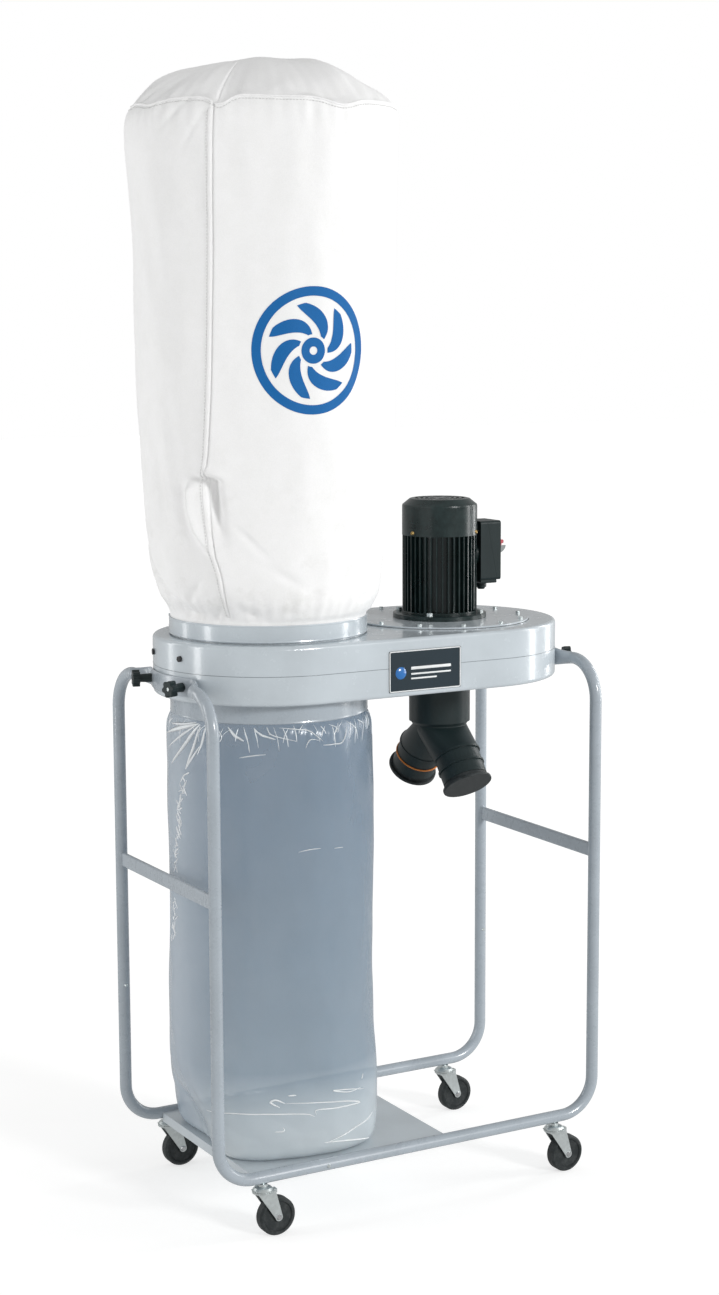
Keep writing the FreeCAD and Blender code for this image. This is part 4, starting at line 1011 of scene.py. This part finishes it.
def makeWelds():
    # a weld bead round each end of each cross bar: a flattened loop laid on the leg's curve,
    # its thickness rippling with each pool
    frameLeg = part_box("left_hoop")
    tube = 0.0127
    parts = []
    for side in ("left", "right"):
        low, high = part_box(side + "_cross_bar")
        x0, z0 = (low.x + high.x) / 2, (low.z + high.z) / 2
        wide, tall = (high.x - low.x) / 2, (high.z - low.z) / 2
        for hand in (-1, 1):
            a = np.linspace(0, 2 * math.pi, 120, endpoint=False)
            dx = wide * np.sign(np.cos(a)) * np.abs(np.cos(a)) ** 0.35
            dz = tall * np.sign(np.sin(a)) * np.abs(np.sin(a)) ** 0.35
            legY = (frameLeg[1].y - tube) * hand
            y = legY - hand * np.sqrt(tube ** 2 - dx ** 2)
            path = np.stack([x0 + dx, y, z0 + dz], -1)
            out = unit(np.stack([dx / wide ** 2, 0 * a - hand * 40, dz / tall ** 2], -1))
            ahead = unit(np.roll(path, -1, 0) - np.roll(path, 1, 0))
            across = unit(np.cross(ahead, out))
            size = 1 + 0.12 * np.cos(34 * a)
            ring = circle(trim["weld"], 8)
            p = path[:, None] + (out[:, None] * ring[None, :, :1] + across[:, None] * ring[None, :, 1:]) * size[:, None, None]
            parts.append((p.reshape(-1, 3), gridFaces(len(a), 8, wrapRows=True, wrapCols=True).tolist()))
    points, faces = together(parts)
    piece = makeMesh("cross_bar_welds", points, faces, surfaces["frame_grey"])
    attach(piece, "frame")


def roundedLoop(x0, x1, z0, z1, radius, count=10):
    # a rectangle with rounded corners, as points in X and Z
    turn = np.linspace(0, math.pi / 2, count)
    centres = [(x1 - radius, z1 - radius, 0), (x0 + radius, z1 - radius, 1),
               (x0 + radius, z0 + radius, 2), (x1 - radius, z0 + radius, 3)]
    return np.concatenate([np.stack([cx + radius * np.cos(turn + q * math.pi / 2),
                                     cz + radius * np.sin(turn + q * math.pi / 2)], -1)
                           for cx, cz, q in centres])


def makePlateFace():
    # a raised border on the name plate, a rounded ridge along a loop, and three plain bars and a blue disc, each a
    # flat patch just proud of the face
    low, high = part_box("name_plate")
    white = enamel("plate_white", (0.78, 0.80, 0.80), 0.3, 0.1)
    face = low.y
    wide, tall = high.x - low.x, high.z - low.z
    loops = [(roundedLoop(low.x + 0.0016, high.x - 0.0016, low.z + 0.0016, high.z - 0.0016, 0.003),
              trim["plateBorder"])]
    bars = [(0.30, 0.86, 0.56, 0.035), (0.30, 0.86, 0.42, 0.020), (0.30, 0.66, 0.31, 0.020)]
    parts = []
    for left, right, middle, thick in bars:
        loop = roundedLoop(low.x + left * wide, low.x + right * wide,
                           low.z + (middle - thick) * tall, low.z + (middle + thick) * tall, 0.0012, 5)
        parts.append(raisedPatch(loop, face))
    turn = np.linspace(0, 2 * math.pi, 40, endpoint=False)
    disc = np.stack([low.x + 0.16 * wide + 0.0125 * np.cos(turn), low.z + 0.46 * tall + 0.0125 * np.sin(turn)], -1)
    blueDisc = raisedPatch(disc, face)
    for loop, radius in loops:
        path = np.stack([loop[:, 0], np.full(len(loop), face), loop[:, 1]], -1)
        middle = path.mean(0)
        ahead = unit(np.roll(path, -1, 0) - np.roll(path, 1, 0))
        out = np.tile([0.0, -1.0, 0.0], (len(path), 1))
        across = unit(np.cross(out, ahead))
        parts.append(sweep(path, out, across, circle(radius, 8) * np.array([0.45, 1.0]), True))
    points, faces = together(parts)
    piece = makeMesh("name_plate_border", points, faces, white)
    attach(piece, "frame")
    piece = makeMesh("name_plate_disc", *blueDisc, enamel("plate_blue", (0.012, 0.15, 0.46), 0.25, 0.1))
    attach(piece, "frame")


def raisedPatch(loop, face, lift=0.0004):
    # a flat patch just proud of the plate's face, with a bevelled rim and a fan to its middle
    middle = loop.mean(0)
    inner = middle + (loop - middle) * 0.97
    rings = [np.stack([loop[:, 0], np.full(len(loop), face + 0.0001), loop[:, 1]], -1),
             np.stack([inner[:, 0], np.full(len(loop), face - lift), inner[:, 1]], -1)]
    count = len(loop)
    points = np.concatenate([*rings, [[middle[0], face - lift, middle[1]]]])
    faces = gridFaces(2, count, wrapCols=True).tolist()
    faces += capFaces(np.arange(count, 2 * count), 2 * count).tolist()
    return points, faces


panel, crown = makeFilterBag()
print("filter bag:", len(panel.data.polygons), "faces")
seams = makeSeams(panel)
mark = makeBadge()
film = makeWasteBag()
pleats = makePleats()
print("collector bag:", len(film.data.polygons), "faces")
makeSealant()
makeGasket()
makeWelds()
makePlateFace()
print("trim ready")
